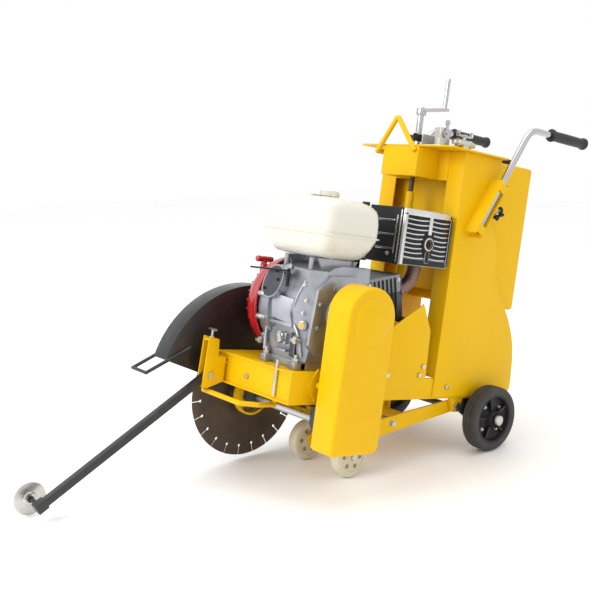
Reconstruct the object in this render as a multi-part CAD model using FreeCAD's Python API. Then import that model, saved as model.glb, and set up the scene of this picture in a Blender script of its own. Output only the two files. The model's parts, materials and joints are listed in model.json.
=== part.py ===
import FreeCAD, Part
import math
import os

V = FreeCAD.Vector

# Frame of the design: x to the machine's left (belt side), y to the rear, z up.
# Every part is drawn in chassis coordinates; the rear axle lies AXLE_SHIFT behind the origin.
# The whole saw is then tilted nose-up about the origin, as it stands with the blade raised.
NOSE_UP_DEG = 9.5
REAR_WHEEL_RADIUS = 100.0
AXLE_SHIFT = 25.0
AXLE_Y = AXLE_SHIFT * math.cos(math.radians(NOSE_UP_DEG))
AXLE_Z = AXLE_SHIFT * math.sin(math.radians(NOSE_UP_DEG))

# Chassis weldment
HALF_WIDTH = 166.0
SHEET = 4.0
BEAM_LOW = 55.0
BEAM_TOP = 117.0
TRAY_TOP = 136.0
TRAY_FRONT = -750.0
TRAY_REAR = -560.0
CONSOLE_FRONT = -195.0
CONSOLE_TOP = 790.0
HEADER_LOW = 703.0

# Crankshaft, arbor and belt drive, both shafts along x
CRANK_Y = -600.0
CRANK_Z = 291.0
ARBOR_Y = -604.0
ARBOR_Z = 0.0
BLADE_X = -205.0
BLADE_RADIUS = 190.0
BLADE_THICK = 3.2
BLADE_SLOTS = 22
COVER_INNER = 203.0
COVER_OUTER = 292.0
DRIVE_RADIUS = 44.0
DRIVEN_RADIUS = 52.0
GROOVE_DEPTH = 11.0
GROOVE_TOP_WIDTH = 16.6
GROOVE_FLOOR_WIDTH = 9.4
GROOVE_CENTRES = (228.0, 249.0)
BELT_GAP = 0.5

# Depth setting: swing arm, lift tube and screw
ARM_PIVOT_Y = -75.0
ARM_PIVOT_Z = 30.0
ARM_SWING_DEG = 14.0
SCREW_Y = -232.0
SCREW_RADIUS = 8.0
TUBE_RADIUS = 12.0
TUBE_TOP = 660.0
FRONT_WHEEL_Y = -452.0
FRONT_WHEEL_Z = -116.2
FRONT_WHEEL_RADIUS = 60.0
CRANK_ARM_Z = 905.0
CRANK_THROW = 92.0
CRANK_GRIP_LONG = 90.0

# Pointer arm, handlebars, guard
POINTER_X = -140.0
POINTER_PIVOT_Y = -797.0
POINTER_PIVOT_Z = 70.0
POINTER_TIP_Y = -1256.0
POINTER_TIP_Z = -266.9
DISC_X = -203.0
DISC_RADIUS = 44.0
HANDLE_X = 199.0
HANDLE_SLOPE_DEG = 60.7
HANDLE_FOOT_Y = -128.0
HANDLE_FOOT_Z = 585.0
HANDLE_TOP_Z = 893.0
GUARD_RAISE_DEG = 17.0
GUARD_RADIUS = 303.0
GUARD_BORE = 60.0

# The row's origin lies on the ground under the middle of the overall box
ORIGIN_X = 16.0
ORIGIN_Y = -426.73

RUNNING_FIT = 0.05
JOIN_GAP = 0.4


def box(x0, x1, y0, y1, z0, z1):
    return Part.makeBox(x1 - x0, y1 - y0, z1 - z0, V(x0, y0, z0))


def rod_x(x0, x1, y, z, radius):
    return Part.makeCylinder(radius, x1 - x0, V(x0, y, z), V(1, 0, 0))


def rod_y(y0, y1, x, z, radius):
    return Part.makeCylinder(radius, y1 - y0, V(x, y0, z), V(0, 1, 0))


def rod_z(z0, z1, x, y, radius):
    return Part.makeCylinder(radius, z1 - z0, V(x, y, z0), V(0, 0, 1))


def ring_x(x0, x1, y, z, outer, inner):
    return rod_x(x0, x1, y, z, outer).cut(rod_x(x0 - 1, x1 + 1, y, z, inner))


def ring_z(z0, z1, x, y, outer, inner):
    return rod_z(z0, z1, x, y, outer).cut(rod_z(z0 - 1, z1 + 1, x, y, inner))


def plate_x(outline, x0, x1):
    """Flat plate from an outline of (y, z) points, between two x planes."""
    points = [V(x0, y, z) for y, z in outline]
    face = Part.Face(Part.makePolygon(points + points[:1]))
    return face.extrude(V(x1 - x0, 0, 0))


def plate_y(outline, y0, y1):
    """Flat plate from an outline of (x, z) points, between two y planes."""
    points = [V(x, y0, z) for x, z in outline]
    face = Part.Face(Part.makePolygon(points + points[:1]))
    return face.extrude(V(0, y1 - y0, 0))


def plate_z(outline, z0, z1):
    """Flat plate from an outline of (x, y) points, between two z planes."""
    points = [V(x, y, z0) for x, y in outline]
    face = Part.Face(Part.makePolygon(points + points[:1]))
    return face.extrude(V(0, 0, z1 - z0))


def fuse(shapes):
    shapes = list(shapes)
    whole = shapes[0]
    if len(shapes) > 1:
        whole = whole.multiFuse(shapes[1:])
    return whole.removeSplitter()


def cut(shape, tools):
    return shape.cut(list(tools))


def round_edges(shape, radius, wanted):
    """Fillet the edges whose centre of mass passes the test."""
    edges = [e for e in shape.Edges if wanted(e)]
    return shape.makeFillet(radius, edges)


def along(edge, axis):
    if len(edge.Vertexes) < 2:
        return False
    step = edge.Vertexes[-1].Point.sub(edge.Vertexes[0].Point)
    others = [abs(c) for i, c in enumerate((step.x, step.y, step.z)) if i != axis]
    return step.Length > 0.5 and max(others) < 1e-6 and type(edge.Curve).__name__ == "Line"


def rod_path(points, radius):
    """Round bar through the points, with ball corners."""
    points = [V(*p) for p in points]
    pieces = []
    for a, b in zip(points, points[1:]):
        pieces.append(Part.makeCylinder(radius, b.sub(a).Length, a, b.sub(a)))
    for p in points[1:-1]:
        pieces.append(Part.makeSphere(radius, p))
    return fuse(pieces)


def spin_x(shape, degrees, y, z):
    """Turn about an axis along x; a positive angle lifts what lies to the rear."""
    turned = shape.copy()
    turned.rotate(V(0, y, z), V(1, 0, 0), degrees)
    return turned


def mirror_x(shape):
    return shape.mirror(V(0, 0, 0), V(1, 0, 0))


def hexagon_x(x0, x1, y, z, flats):
    corner = flats / math.sqrt(3)
    outline = [
        (y + corner * math.cos(math.radians(60 * k)), z + corner * math.sin(math.radians(60 * k)))
        for k in range(6)
    ]
    return plate_x(outline, x0, x1)


def hexagon_z(z0, z1, x, y, flats):
    corner = flats / math.sqrt(3)
    outline = [
        (x + corner * math.cos(math.radians(60 * k)), y + corner * math.sin(math.radians(60 * k)))
        for k in range(6)
    ]
    return plate_z(outline, z0, z1)


def revolve_x(profile, y, z):
    """Full turn about an x axis of a profile of (x, radius) points."""
    points = [V(x, y, z + r) for x, r in profile]
    face = Part.Face(Part.makePolygon(points + points[:1]))
    return face.revolve(V(0, y, z), V(1, 0, 0), 360)


# ---------------------------------------------------------------- chassis


def main_frame():
    parts = []
    for side in (-1, 1):
        web = sorted((side * (HALF_WIDTH - 2 * SHEET), side * (HALF_WIDTH - SHEET)))
        lip = sorted((side * (HALF_WIDTH - 16), side * (HALF_WIDTH - SHEET)))
        parts.append(box(web[0], web[1], -735, 55, BEAM_LOW, BEAM_TOP))
        parts.append(box(lip[0], lip[1], -735, 55, BEAM_LOW, BEAM_LOW + SHEET))
        parts.append(box(lip[0], lip[1], -735, 55, BEAM_TOP - SHEET, BEAM_TOP))
    # cross members between the beams: front, behind the engine, at the rear
    for y0, y1 in ((-735, -731), (-372, -342), (20, 55)):
        parts.append(box(-158, 158, y0, y1, 86, BEAM_TOP))
    # hangers that carry the swing-arm pivot pins
    for side in (-1, 1):
        low, high = sorted((side * 149.0, side * 161.0))
        lug = plate_x([(-105, 58), (-45, 58), (-60, 12), (-90, 12)], low, high)
        parts.append(lug)
    # triangular leg plates between the beams and the console
    for side in (-1, 1):
        low, high = sorted((side * (HALF_WIDTH - 2 * SHEET), side * (HALF_WIDTH - SHEET)))
        outline = [(-430, BEAM_TOP - 1), (-231, BEAM_TOP - 1), (-237, 259), (-280, 336), (-400, 262)]
        parts.append(plate_x(outline, low, high))
    frame = fuse(parts)
    holes = [rod_x(-170, 170, ARM_PIVOT_Y, ARM_PIVOT_Z, 8 + JOIN_GAP / 2)]
    holes += [rod_x(-170, 170, y, z, 4.2) for y, z in LEG_BOLTS]
    holes.append(rod_x(100, 170, -662, 104, 5.2))
    return cut(frame, holes)


def guard_ring():
    """Carrier ring round the arbor, hung from the tray's right side, that the guard turns on."""
    ring = ring_x(-184, -166, ARBOR_Y, ARBOR_Z, GUARD_BORE - 0.3, GUARD_BORE - 7)
    hanger = box(-166.4, -162.4, ARBOR_Y - 62, ARBOR_Y + 62, -30, 60)
    hanger = hanger.cut(rod_x(-170, -160, ARBOR_Y, ARBOR_Z, 40))
    return fuse([ring, hanger])


LEG_BOLTS = ((-395, 128), (-250, 153), (-262, 128), (-139, 92))


def pivot_pins():
    pins = []
    for side in (-1, 1):
        shank = rod_x(137, 170, ARM_PIVOT_Y, ARM_PIVOT_Z, 8)
        head = hexagon_x(161 + JOIN_GAP, 170, ARM_PIVOT_Y, ARM_PIVOT_Z, 24)
        pin = fuse([shank, head])
        pins.append(pin if side > 0 else mirror_x(pin))
    return pins


def engine_tray():
    inner = HALF_WIDTH - SHEET + JOIN_GAP
    outer = inner + SHEET
    deck = box(-outer, outer, TRAY_FRONT + 14, TRAY_REAR + 120, TRAY_TOP - 5, TRAY_TOP)
    sides = []
    for side in (-1, 1):
        low, high = sorted((side * inner, side * outer))
        outline = [
            (TRAY_FRONT, TRAY_TOP),
            (TRAY_REAR + 120, TRAY_TOP),
            (TRAY_REAR + 120, BEAM_TOP + 1),
            (TRAY_REAR, BEAM_TOP - 12),
            (TRAY_REAR - 20, 50),
            (TRAY_FRONT, 50),
        ]
        sides.append(plate_x(outline, low, high))
    web = box(-outer, outer, TRAY_FRONT + 10, TRAY_FRONT + 14.6, 50, TRAY_TOP)
    rim_top = box(-outer, outer, TRAY_FRONT, TRAY_FRONT + 14, TRAY_TOP - 4, TRAY_TOP)
    rim_low = box(-outer, outer, TRAY_FRONT, TRAY_FRONT + 14, 50, 54)
    # diamond gusset on the belt side, where the belt cover is bolted on
    gusset = plate_x([(-692, 104), (-662, 146), (-626, 104), (-662, 58)], outer - 1, outer + 5)
    tray = fuse([deck, web, rim_top, rim_low, gusset, guard_ring()] + sides)
    holes = [rod_x(outer - 12, outer + 12, -662, 104, 5.2)]
    holes += [rod_z(TRAY_TOP - 10, TRAY_TOP + 2, x, y, 5.3) for x, y in ENGINE_BOLTS]
    holes.append(rod_z(TRAY_TOP - 10, TRAY_TOP + 2, 98, TRAY_FRONT + 5, 5.3))
    holes += [rod_y(TRAY_FRONT - 5, TRAY_FRONT + 20, x, z, 4.2) for x, z in FRONT_BOLTS]
    return cut(tray, holes)


ENGINE_BOLTS = ((0, -709), (126, -709), (0, -476), (126, -476))
FRONT_BOLTS = ((-134, 105), (-30, 87))


def pointer_bracket():
    """Clevis on the front panel: two cheeks, a notched top and a back plate."""
    outline = [
        (TRAY_FRONT - 0.1, 122),
        (TRAY_FRONT - 26, 122),
        (TRAY_FRONT - 30, 172),
        (TRAY_FRONT - 64, 178),
        (TRAY_FRONT - 70, 40),
        (TRAY_FRONT - 55, 32),
        (TRAY_FRONT - 0.1, 52),
    ]
    cheeks = [plate_x(outline, x, x + 4) for x in (POINTER_X - 15, POINTER_X + 11)]
    bridge = box(POINTER_X - 15, POINTER_X + 15, TRAY_FRONT - 5, TRAY_FRONT - 0.1, 56, 122)
    cap = box(POINTER_X - 15, POINTER_X + 15, TRAY_FRONT - 62, TRAY_FRONT - 31, 166, 171)
    bracket = fuse(cheeks + [bridge, cap, front_loop()])
    holes = [
        rod_x(POINTER_X - 20, POINTER_X + 20, POINTER_PIVOT_Y, POINTER_PIVOT_Z, 5.05),
        rod_z(160, 175, POINTER_X, TRAY_FRONT - 46, 4.05),
    ]
    return cut(bracket, holes)


def front_loop():
    """Bent round bar under the front panel, welded to the pointer bracket."""
    radius = 7.0
    low = 22.0
    return rod_path(
        [
            (POINTER_X - 18, -790, low + 14),
            (POINTER_X - 18, -790, low),
            (14, -790, low),
            (40, -745, low),
            (40, -690, low),
            (40, -690, 42),
        ],
        radius,
    )


def console_outline():
    """Side plate of the console: straight front, S-shaped rear edge."""
    rear = [
        (-28, 790),
        (-46, 715),
        (-57, 660),
        (-40, 600),
        (-6, 548),
        (9, 505),
        (12, 462),
        (46, 392),
        (92, 334),
        (134, 270),
        (160, 200),
        (168, 130),
        (166, 80),
        (152, 62),
    ]
    start = V(0, rear[0][0], rear[0][1])
    curve = Part.BSplineCurve()
    curve.interpolate([V(0, y, z) for y, z in rear])
    low = V(0, CONSOLE_FRONT, 62)
    top = V(0, CONSOLE_FRONT, CONSOLE_TOP)
    end = V(0, rear[-1][0], rear[-1][1])
    edges = [
        curve.toShape(),
        Part.makeLine(end, low),
        Part.makeLine(low, top),
        Part.makeLine(top, start),
    ]
    return Part.Face(Part.Wire(edges))


def handle_socket():
    """Open U-channel that takes one handlebar, its back against the side plate."""
    length = 190.0
    width = 33.0
    channel = box(HALF_WIDTH - 0.5, HALF_WIDTH + 48, -width / 2, width / 2, 0, length)
    hollow = box(HALF_WIDTH + SHEET, HALF_WIDTH + 60, -width / 2 + 3, width / 2 - 3, -1, length + 1)
    straps = []
    for z in (8, length - 34):
        strap = box(HALF_WIDTH, HALF_WIDTH + 48, -width / 2, width / 2, z, z + 26)
        straps.append(strap.cut(rod_z(z - 1, z + 27, HANDLE_X, 0, 10.6)))
    nut = rod_y(width / 2 - 1, width / 2 + 12, HANDLE_X, 107, 11)
    socket = fuse([channel.cut(hollow)] + straps + [nut])
    socket = socket.cut(rod_y(0, width, HANDLE_X, 107, 5.05))
    return lean_with_handle(socket)


def lean_with_handle(shape):
    """Place a shape drawn upright at y = 0, z = 0 on the sloping handle line."""
    placed = shape.copy()
    placed.rotate(V(0, 0, 0), V(1, 0, 0), HANDLE_SLOPE_DEG - 90)
    placed.translate(V(0, -146, 553))
    return placed


def console_side(side):
    plate = console_outline().extrude(V(SHEET, 0, 0))
    plate.translate(V(HALF_WIDTH - SHEET + JOIN_GAP, 0, 0))
    flange = box(106, HALF_WIDTH, CONSOLE_FRONT, CONSOLE_FRONT + SHEET, BEAM_TOP + 1, CONSOLE_TOP)
    whole = fuse([plate, flange, handle_socket()])
    holes = [rod_x(150, 180, y, z, 4.2) for y, z in LEG_BOLTS[-1:]]
    holes.append(rod_x(150, 180, 110, 85, 4.2))
    whole = cut(whole, holes)
    if side < 0:
        whole = mirror_x(whole)
        # daylight shows past the lower rear of this plate
        whole = whole.cut(box(-190, -150, 62, 200, 120, 350))
    return whole


def console_front():
    """Header across the top, stepping back to a recessed panel."""
    inside = HALF_WIDTH - SHEET - JOIN_GAP
    back = CONSOLE_FRONT + 48
    header = box(-105, 105, CONSOLE_FRONT, CONSOLE_FRONT + SHEET, HEADER_LOW, CONSOLE_TOP)
    shelf = box(-105, 105, CONSOLE_FRONT, back, HEADER_LOW, HEADER_LOW + SHEET)
    panel = box(-inside, inside, back - SHEET, back, 372, CONSOLE_TOP)
    panel_lip = box(-inside, inside, back - SHEET, back + 30, 372, 376)
    return fuse([header, shelf, panel, panel_lip])


def top_plate():
    plate = box(-188, 188, -288, -16, CONSOLE_TOP + JOIN_GAP, CONSOLE_TOP + 5)
    plate = round_edges(plate, 14, lambda e: along(e, 2))
    holes = [rod_z(780, 800, 0, SCREW_Y, 17)]
    holes += [rod_z(780, 800, x, y, 3.2) for x, y in CONTROL_BOLTS]
    return cut(plate, holes)


CONTROL_BOLTS = ((53, -252), (109, -252))


def screw_housing():
    """Welded box round the head of the lift screw, with the lifting eye ahead of it."""
    left, right = -78.0, 64.0
    front, back = -290.0, CONSOLE_FRONT - JOIN_GAP
    shell = box(left, right, front, back, HEADER_LOW, CONSOLE_TOP)
    shell = shell.cut(box(left + 4, right - 4, front + 4, back + 5, HEADER_LOW + 5, CONSOLE_TOP + 5))
    collar = ring_z(HEADER_LOW, HEADER_LOW + 34, 0, SCREW_Y, 20, SCREW_RADIUS + RUNNING_FIT)
    shell = shell.cut(rod_z(HEADER_LOW - 2, CONSOLE_TOP, 0, SCREW_Y, SCREW_RADIUS + RUNNING_FIT))
    return fuse([shell, collar, lifting_bail()])


def lifting_bail():
    """Triangular lifting eye of round bar; its left foot wraps the housing's side."""
    y = -290.0 - 6.5
    return rod_path(
        [
            (-92, -262, 772),
            (-99, y, 772),
            (-34, y, 872),
            (-26, y, 872),
            (56, y, 776),
        ],
        7.5,
    )


def water_tank():
    tank = box(-150, 150, -46, 158, 335, 784)
    tank = round_edges(tank, 22, lambda e: along(e, 2))
    tank = round_edges(tank, 8, lambda e: e.CenterOfMass.z > 783 or e.CenterOfMass.z < 336)
    inner = box(-146, 146, -42, 154, 339, 780)
    tank = tank.cut(inner)
    # the handle sockets and plates pass outside; the filler neck stands on the top rear
    neck = ring_z(780, 800, 70, 90, 24, 20)
    tank = tank.cut(rod_z(770, 790, 70, 90, 20))
    outlet = rod_y(154, 176, -90, 360, 9)
    return fuse([tank, neck, outlet])


def water_tank_cap():
    cap = ring_z(784 + JOIN_GAP, 804, 70, 90, 31, 24 + JOIN_GAP)
    lid = rod_z(800 + JOIN_GAP, 806, 70, 90, 31)
    grips = []
    for k in range(12):
        angle = math.radians(30 * k)
        grips.append(rod_z(786, 805, 70 + 31 * math.cos(angle), 90 + 31 * math.sin(angle), 2.5))
    return fuse([cap, lid] + grips)


def rear_axle():
    """Through axle with the two black lug plates that hang it from the beams."""
    shaft = rod_x(-252, 252, AXLE_Y, AXLE_Z, 10)
    lugs = []
    top = BEAM_LOW - JOIN_GAP
    outline = [(-36, top), (54, top), (AXLE_Y + 22, AXLE_Z - 22), (AXLE_Y - 26, AXLE_Z - 22), (-44, 8)]
    for side in (-1, 1):
        low, high = sorted((side * 150.0, side * 160.0))
        lugs.append(plate_x(outline, low, high))
        collar = sorted((side * 178.0, side * 188.0))
        lugs.append(rod_x(collar[0], collar[1], AXLE_Y, AXLE_Z, 17))
    return fuse([shaft] + lugs)


# ------------------------------------------------------------ rear wheels


def rear_rim(side):
    """Cast rim: hub barrel, dished web with four ribs, rolled rim."""
    profile = [
        (190, 10 + RUNNING_FIT),
        (246, 10 + RUNNING_FIT),
        (246, 22),
        (226, 28),
        (219, 62),
        (237, 66),
        (237, 76),
        (191, 76),
        (191, 66),
        (209, 60),
        (209, 30),
        (190, 26),
    ]
    rim = revolve_x(profile, AXLE_Y, AXLE_Z)
    ribs = []
    for k in range(4):
        rib = box(214, 229, AXLE_Y - 4, AXLE_Y + 4, AXLE_Z + 20, AXLE_Z + 64)
        ribs.append(spin_x(rib, 45 + 90 * k, AXLE_Y, AXLE_Z))
    rim = fuse([rim] + ribs)
    rim = rim.cut(rod_x(180, 260, AXLE_Y, AXLE_Z, 10 + RUNNING_FIT))
    return rim if side > 0 else mirror_x(rim)


def rear_tyre(side):
    profile = [
        (191, 76 + RUNNING_FIT),
        (237, 76 + RUNNING_FIT),
        (239, 84),
        (239, 93),
        (234, 99),
        (228, 100),
        (200, 100),
        (194, 99),
        (189, 93),
        (189, 84),
    ]
    tyre = revolve_x(profile, AXLE_Y, AXLE_Z)
    return tyre if side > 0 else mirror_x(tyre)


def axle_caps():
    profile = [(248, 0), (260, 0), (260, 9), (257, 15), (248, 17)]
    cap = revolve_x(profile, AXLE_Y, AXLE_Z)
    cap = cap.cut(rod_x(240, 253, AXLE_Y, AXLE_Z, 10 + RUNNING_FIT))
    return [cap, mirror_x(cap)]


# ---------------------------------------------------- belt drive and blade


def pulley(y, z, radius, shaft_radius):
    left = GROOVE_CENTRES[0] - 12
    right = GROOVE_CENTRES[1] + 12
    body = rod_x(left, right, y, z, radius)
    for x in GROOVE_CENTRES:
        profile = [
            (x - GROOVE_TOP_WIDTH / 2, radius + 0.01),
            (x + GROOVE_TOP_WIDTH / 2, radius + 0.01),
            (x + GROOVE_FLOOR_WIDTH / 2, radius - GROOVE_DEPTH - 1),
            (x - GROOVE_FLOOR_WIDTH / 2, radius - GROOVE_DEPTH - 1),
        ]
        body = body.cut(revolve_x(profile, y, z))
    hub = rod_x(left - 8, right + 6, y, z, shaft_radius + 9)
    return fuse([body, hub]).cut(rod_x(left - 20, right + 20, y, z, shaft_radius))


def v_belts():
    """Two wedge belts round both pulleys, standing just clear of the groove walls."""
    return [v_belt(x) for x in GROOVE_CENTRES]


def v_belt(x):
    dy = CRANK_Y - ARBOR_Y
    dz = CRANK_Z - ARBOR_Z
    span = math.hypot(dy, dz)
    lean = math.asin((DRIVEN_RADIUS - DRIVE_RADIUS) / span)
    heading = math.atan2(dz, dy)
    top_half = GROOVE_TOP_WIDTH / 2 - BELT_GAP
    floor_half = GROOVE_FLOOR_WIDTH / 2 - BELT_GAP + 0.3

    def section(y, z, direction, radius):
        cy, cz = math.cos(direction), math.sin(direction)
        inner, outer = radius - GROOVE_DEPTH + BELT_GAP, radius - 0.5
        corners = [
            (x - top_half, outer),
            (x + top_half, outer),
            (x + floor_half, inner),
            (x - floor_half, inner),
        ]
        points = [V(cx, y + r * cy, z + r * cz) for cx, r in corners]
        return Part.Wire(Part.makePolygon(points + points[:1]))

    pieces = []
    # direction of the contact normals on both strands, seen along x
    normals = (heading + math.pi / 2 + lean, heading - math.pi / 2 - lean)
    for normal in normals:
        ends = [
            section(CRANK_Y, CRANK_Z, normal, DRIVE_RADIUS),
            section(ARBOR_Y, ARBOR_Z, normal, DRIVEN_RADIUS),
        ]
        pieces.append(Part.makeLoft(ends, True, True))
    top_wrap = math.degrees(math.pi + 2 * lean)
    drive = Part.Face(section(CRANK_Y, CRANK_Z, normals[1], DRIVE_RADIUS))
    pieces.append(drive.revolve(V(0, CRANK_Y, CRANK_Z), V(1, 0, 0), top_wrap))
    driven = Part.Face(section(ARBOR_Y, ARBOR_Z, normals[0], DRIVEN_RADIUS))
    pieces.append(driven.revolve(V(0, ARBOR_Y, ARBOR_Z), V(1, 0, 0), 360 - top_wrap))
    return fuse(pieces)


def belt_cover_outline(inset):
    """Rounded-top cover outline, shrunk by an inset, as a face in the plane x = 0."""
    half = 84.0 - inset
    top_z = 298.0
    low = -61.0 + inset
    corner = 14.0
    y0, y1 = ARBOR_Y + 3 - half, ARBOR_Y + 3 + half
    arc = Part.Arc(V(0, y0, top_z), V(0, (y0 + y1) / 2, top_z + half), V(0, y1, top_z)).toShape()
    path = [
        (y1, top_z),
        (y1, low + corner),
        (y1 - corner, low),
        (y0 + corner / 2, low),
        (y0, low + corner / 2),
        (y0, top_z),
    ]
    lines = [Part.makeLine(V(0, *a), V(0, *b)) for a, b in zip(path, path[1:])]
    return Part.Face(Part.Wire([arc] + lines))


def belt_cover():
    sheet = 2.5
    outer = belt_cover_outline(0).extrude(V(COVER_OUTER - 7 - COVER_INNER, 0, 0))
    outer.translate(V(COVER_INNER, 0, 0))
    outer = round_edges(outer, 9, lambda e: abs(e.CenterOfMass.x - (COVER_OUTER - 7)) < 0.01)
    boss_profile = [
        (COVER_OUTER - 9, 0),
        (COVER_OUTER - 9, 66),
        (COVER_OUTER - 6, 65),
        (COVER_OUTER, 54),
        (COVER_OUTER, 0),
    ]
    boss = revolve_x(boss_profile, CRANK_Y, CRANK_Z)
    whole = fuse([outer, boss])
    inner = belt_cover_outline(sheet).extrude(V(COVER_OUTER - 12 - COVER_INNER, 0, 0))
    inner.translate(V(COVER_INNER - 1, 0, 0))
    pocket_profile = [
        (COVER_OUTER - 20, 0),
        (COVER_OUTER - 20, 62),
        (COVER_OUTER - 9, 60),
        (COVER_OUTER - sheet, 50),
        (COVER_OUTER - sheet, 0),
    ]
    pocket = revolve_x(pocket_profile, CRANK_Y, CRANK_Z)
    return cut(whole, [inner, pocket])


def belt_cover_back():
    plate = belt_cover_outline(3.2).extrude(V(3, 0, 0))
    plate.translate(V(COVER_INNER - 3.6, 0, 0))
    # two stand-offs carry the plate on the tray's side and gusset
    stub = rod_x(HALF_WIDTH + 9.8, COVER_INNER - 2, -662, 104, 9)
    holes = [
        rod_x(150, 220, CRANK_Y, CRANK_Z, 36),
        rod_x(150, 220, ARBOR_Y, ARBOR_Z, 42),
        rod_x(150, 220, -662, 104, 5.2),
    ]
    return cut(fuse([plate, stub]), holes)


def belt_cover_bolt():
    shank = rod_x(150, COVER_INNER + 4, -662, 104, 5)
    head = hexagon_x(COVER_INNER - 0.2, COVER_INNER + 6, -662, 104, 16)
    nut = hexagon_x(150, 157.6, -662, 104, 16)
    return fuse([shank, head, nut])


def arbor():
    steps = [
        (-226, -200, 12),
        (-200, -187, 15),
        (-187, 207, 15),
        (207, 272, 14),
    ]
    shaft = fuse([rod_x(a, b, ARBOR_Y, ARBOR_Z, r) for a, b, r in steps])
    inner_flange = rod_x(-203.2, -190, ARBOR_Y, ARBOR_Z, 50)
    return fuse([shaft, inner_flange])


def arbor_bearings():
    blocks = []
    for centre in (-148, 148):
        left, right = centre - 13, centre + 13
        foot = box(left, right, ARBOR_Y - 66, ARBOR_Y + 66, 43, BEAM_LOW - JOIN_GAP)
        barrel = rod_x(left, right, ARBOR_Y, ARBOR_Z, 36)
        neck = box(left, right, ARBOR_Y - 36, ARBOR_Y + 36, ARBOR_Z, 50)
        block = fuse([foot, barrel, neck])
        blocks.append(block.cut(rod_x(centre - 20, centre + 20, ARBOR_Y, ARBOR_Z, 15 + RUNNING_FIT)))
    return blocks


def blade():
    """Steel core with radial gullet slots ending in round keyholes."""
    x0 = BLADE_X - BLADE_THICK / 2
    disc = rod_x(x0, x0 + BLADE_THICK, ARBOR_Y, ARBOR_Z, BLADE_RADIUS)
    tools = [rod_x(x0 - 2, x0 + BLADE_THICK + 2, ARBOR_Y, ARBOR_Z, 12 + RUNNING_FIT)]
    for k in range(BLADE_SLOTS):
        angle = 360.0 / BLADE_SLOTS * k
        slot = box(x0 - 2, x0 + BLADE_THICK + 2, ARBOR_Y - 1.3, ARBOR_Y + 1.3, BLADE_RADIUS - 26, BLADE_RADIUS + 5)
        hole = rod_x(x0 - 2, x0 + BLADE_THICK + 2, ARBOR_Y, BLADE_RADIUS - 28, 4.2)
        tools.append(spin_x(slot, angle, ARBOR_Y, ARBOR_Z))
        tools.append(spin_x(hole, angle, ARBOR_Y, ARBOR_Z))
    return cut(disc, tools)


def outer_flange():
    x1 = BLADE_X - BLADE_THICK / 2
    body = revolve_x([(x1, 12.1), (x1, 50), (x1 - 4, 50), (x1 - 12, 30), (x1 - 12, 12.1)], ARBOR_Y, ARBOR_Z)
    return body


def arbor_nut():
    x1 = BLADE_X - BLADE_THICK / 2 - 12
    nut = hexagon_x(x1 - 15, x1 - 0.05, ARBOR_Y, ARBOR_Z, 36)
    return nut.cut(rod_x(x1 - 12, x1 + 5, ARBOR_Y, ARBOR_Z, 12 + RUNNING_FIT))


def guard_shape():
    """Half-round hood over the blade, drawn level, then raised about the arbor."""
    centre_y = ARBOR_Y - 20
    centre_z = ARBOR_Z + 18
    left, right = -247.0, -181.0
    sheet = 2.5

    def half_disc(radius, x0, x1, low):
        disc = rod_x(x0, x1, centre_y, centre_z, radius)
        return disc.cut(box(x0 - 1, x1 + 1, centre_y - 400, centre_y + 400, -400, low))

    outer = half_disc(GUARD_RADIUS, left, right, 6)
    inner = half_disc(GUARD_RADIUS - sheet, left + sheet, right - sheet, 5)
    hood = outer.cut(inner)
    hood = hood.cut(rod_x(left - 5, right + 5, ARBOR_Y, ARBOR_Z, GUARD_BORE))
    return hood, centre_y, centre_z, left, right


def blade_guard():
    hood, centre_y, centre_z, left, right = guard_shape()
    hood = spin_x(hood, -GUARD_RAISE_DEG, ARBOR_Y, ARBOR_Z)
    bar = rod_path(
        [
            (right + 3, -838, 138),
            (right + 3, -972, 66),
            (left - 3, -972, 66),
            (left - 3, -880, 116),
        ],
        5,
    )
    return fuse([hood, bar])


# ----------------------------------------------------------- depth setting


def arm_height(y):
    """Centre line of the swing arm's side bars."""
    return ARM_PIVOT_Z + (y - ARM_PIVOT_Y) * math.tan(math.radians(10.7))


def pin_height():
    """Lift pin height at rest: half the swing below the pivot's level."""
    reach = ARM_PIVOT_Y - SCREW_Y
    return ARM_PIVOT_Z - reach * math.tan(math.radians(ARM_SWING_DEG / 2))


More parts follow.
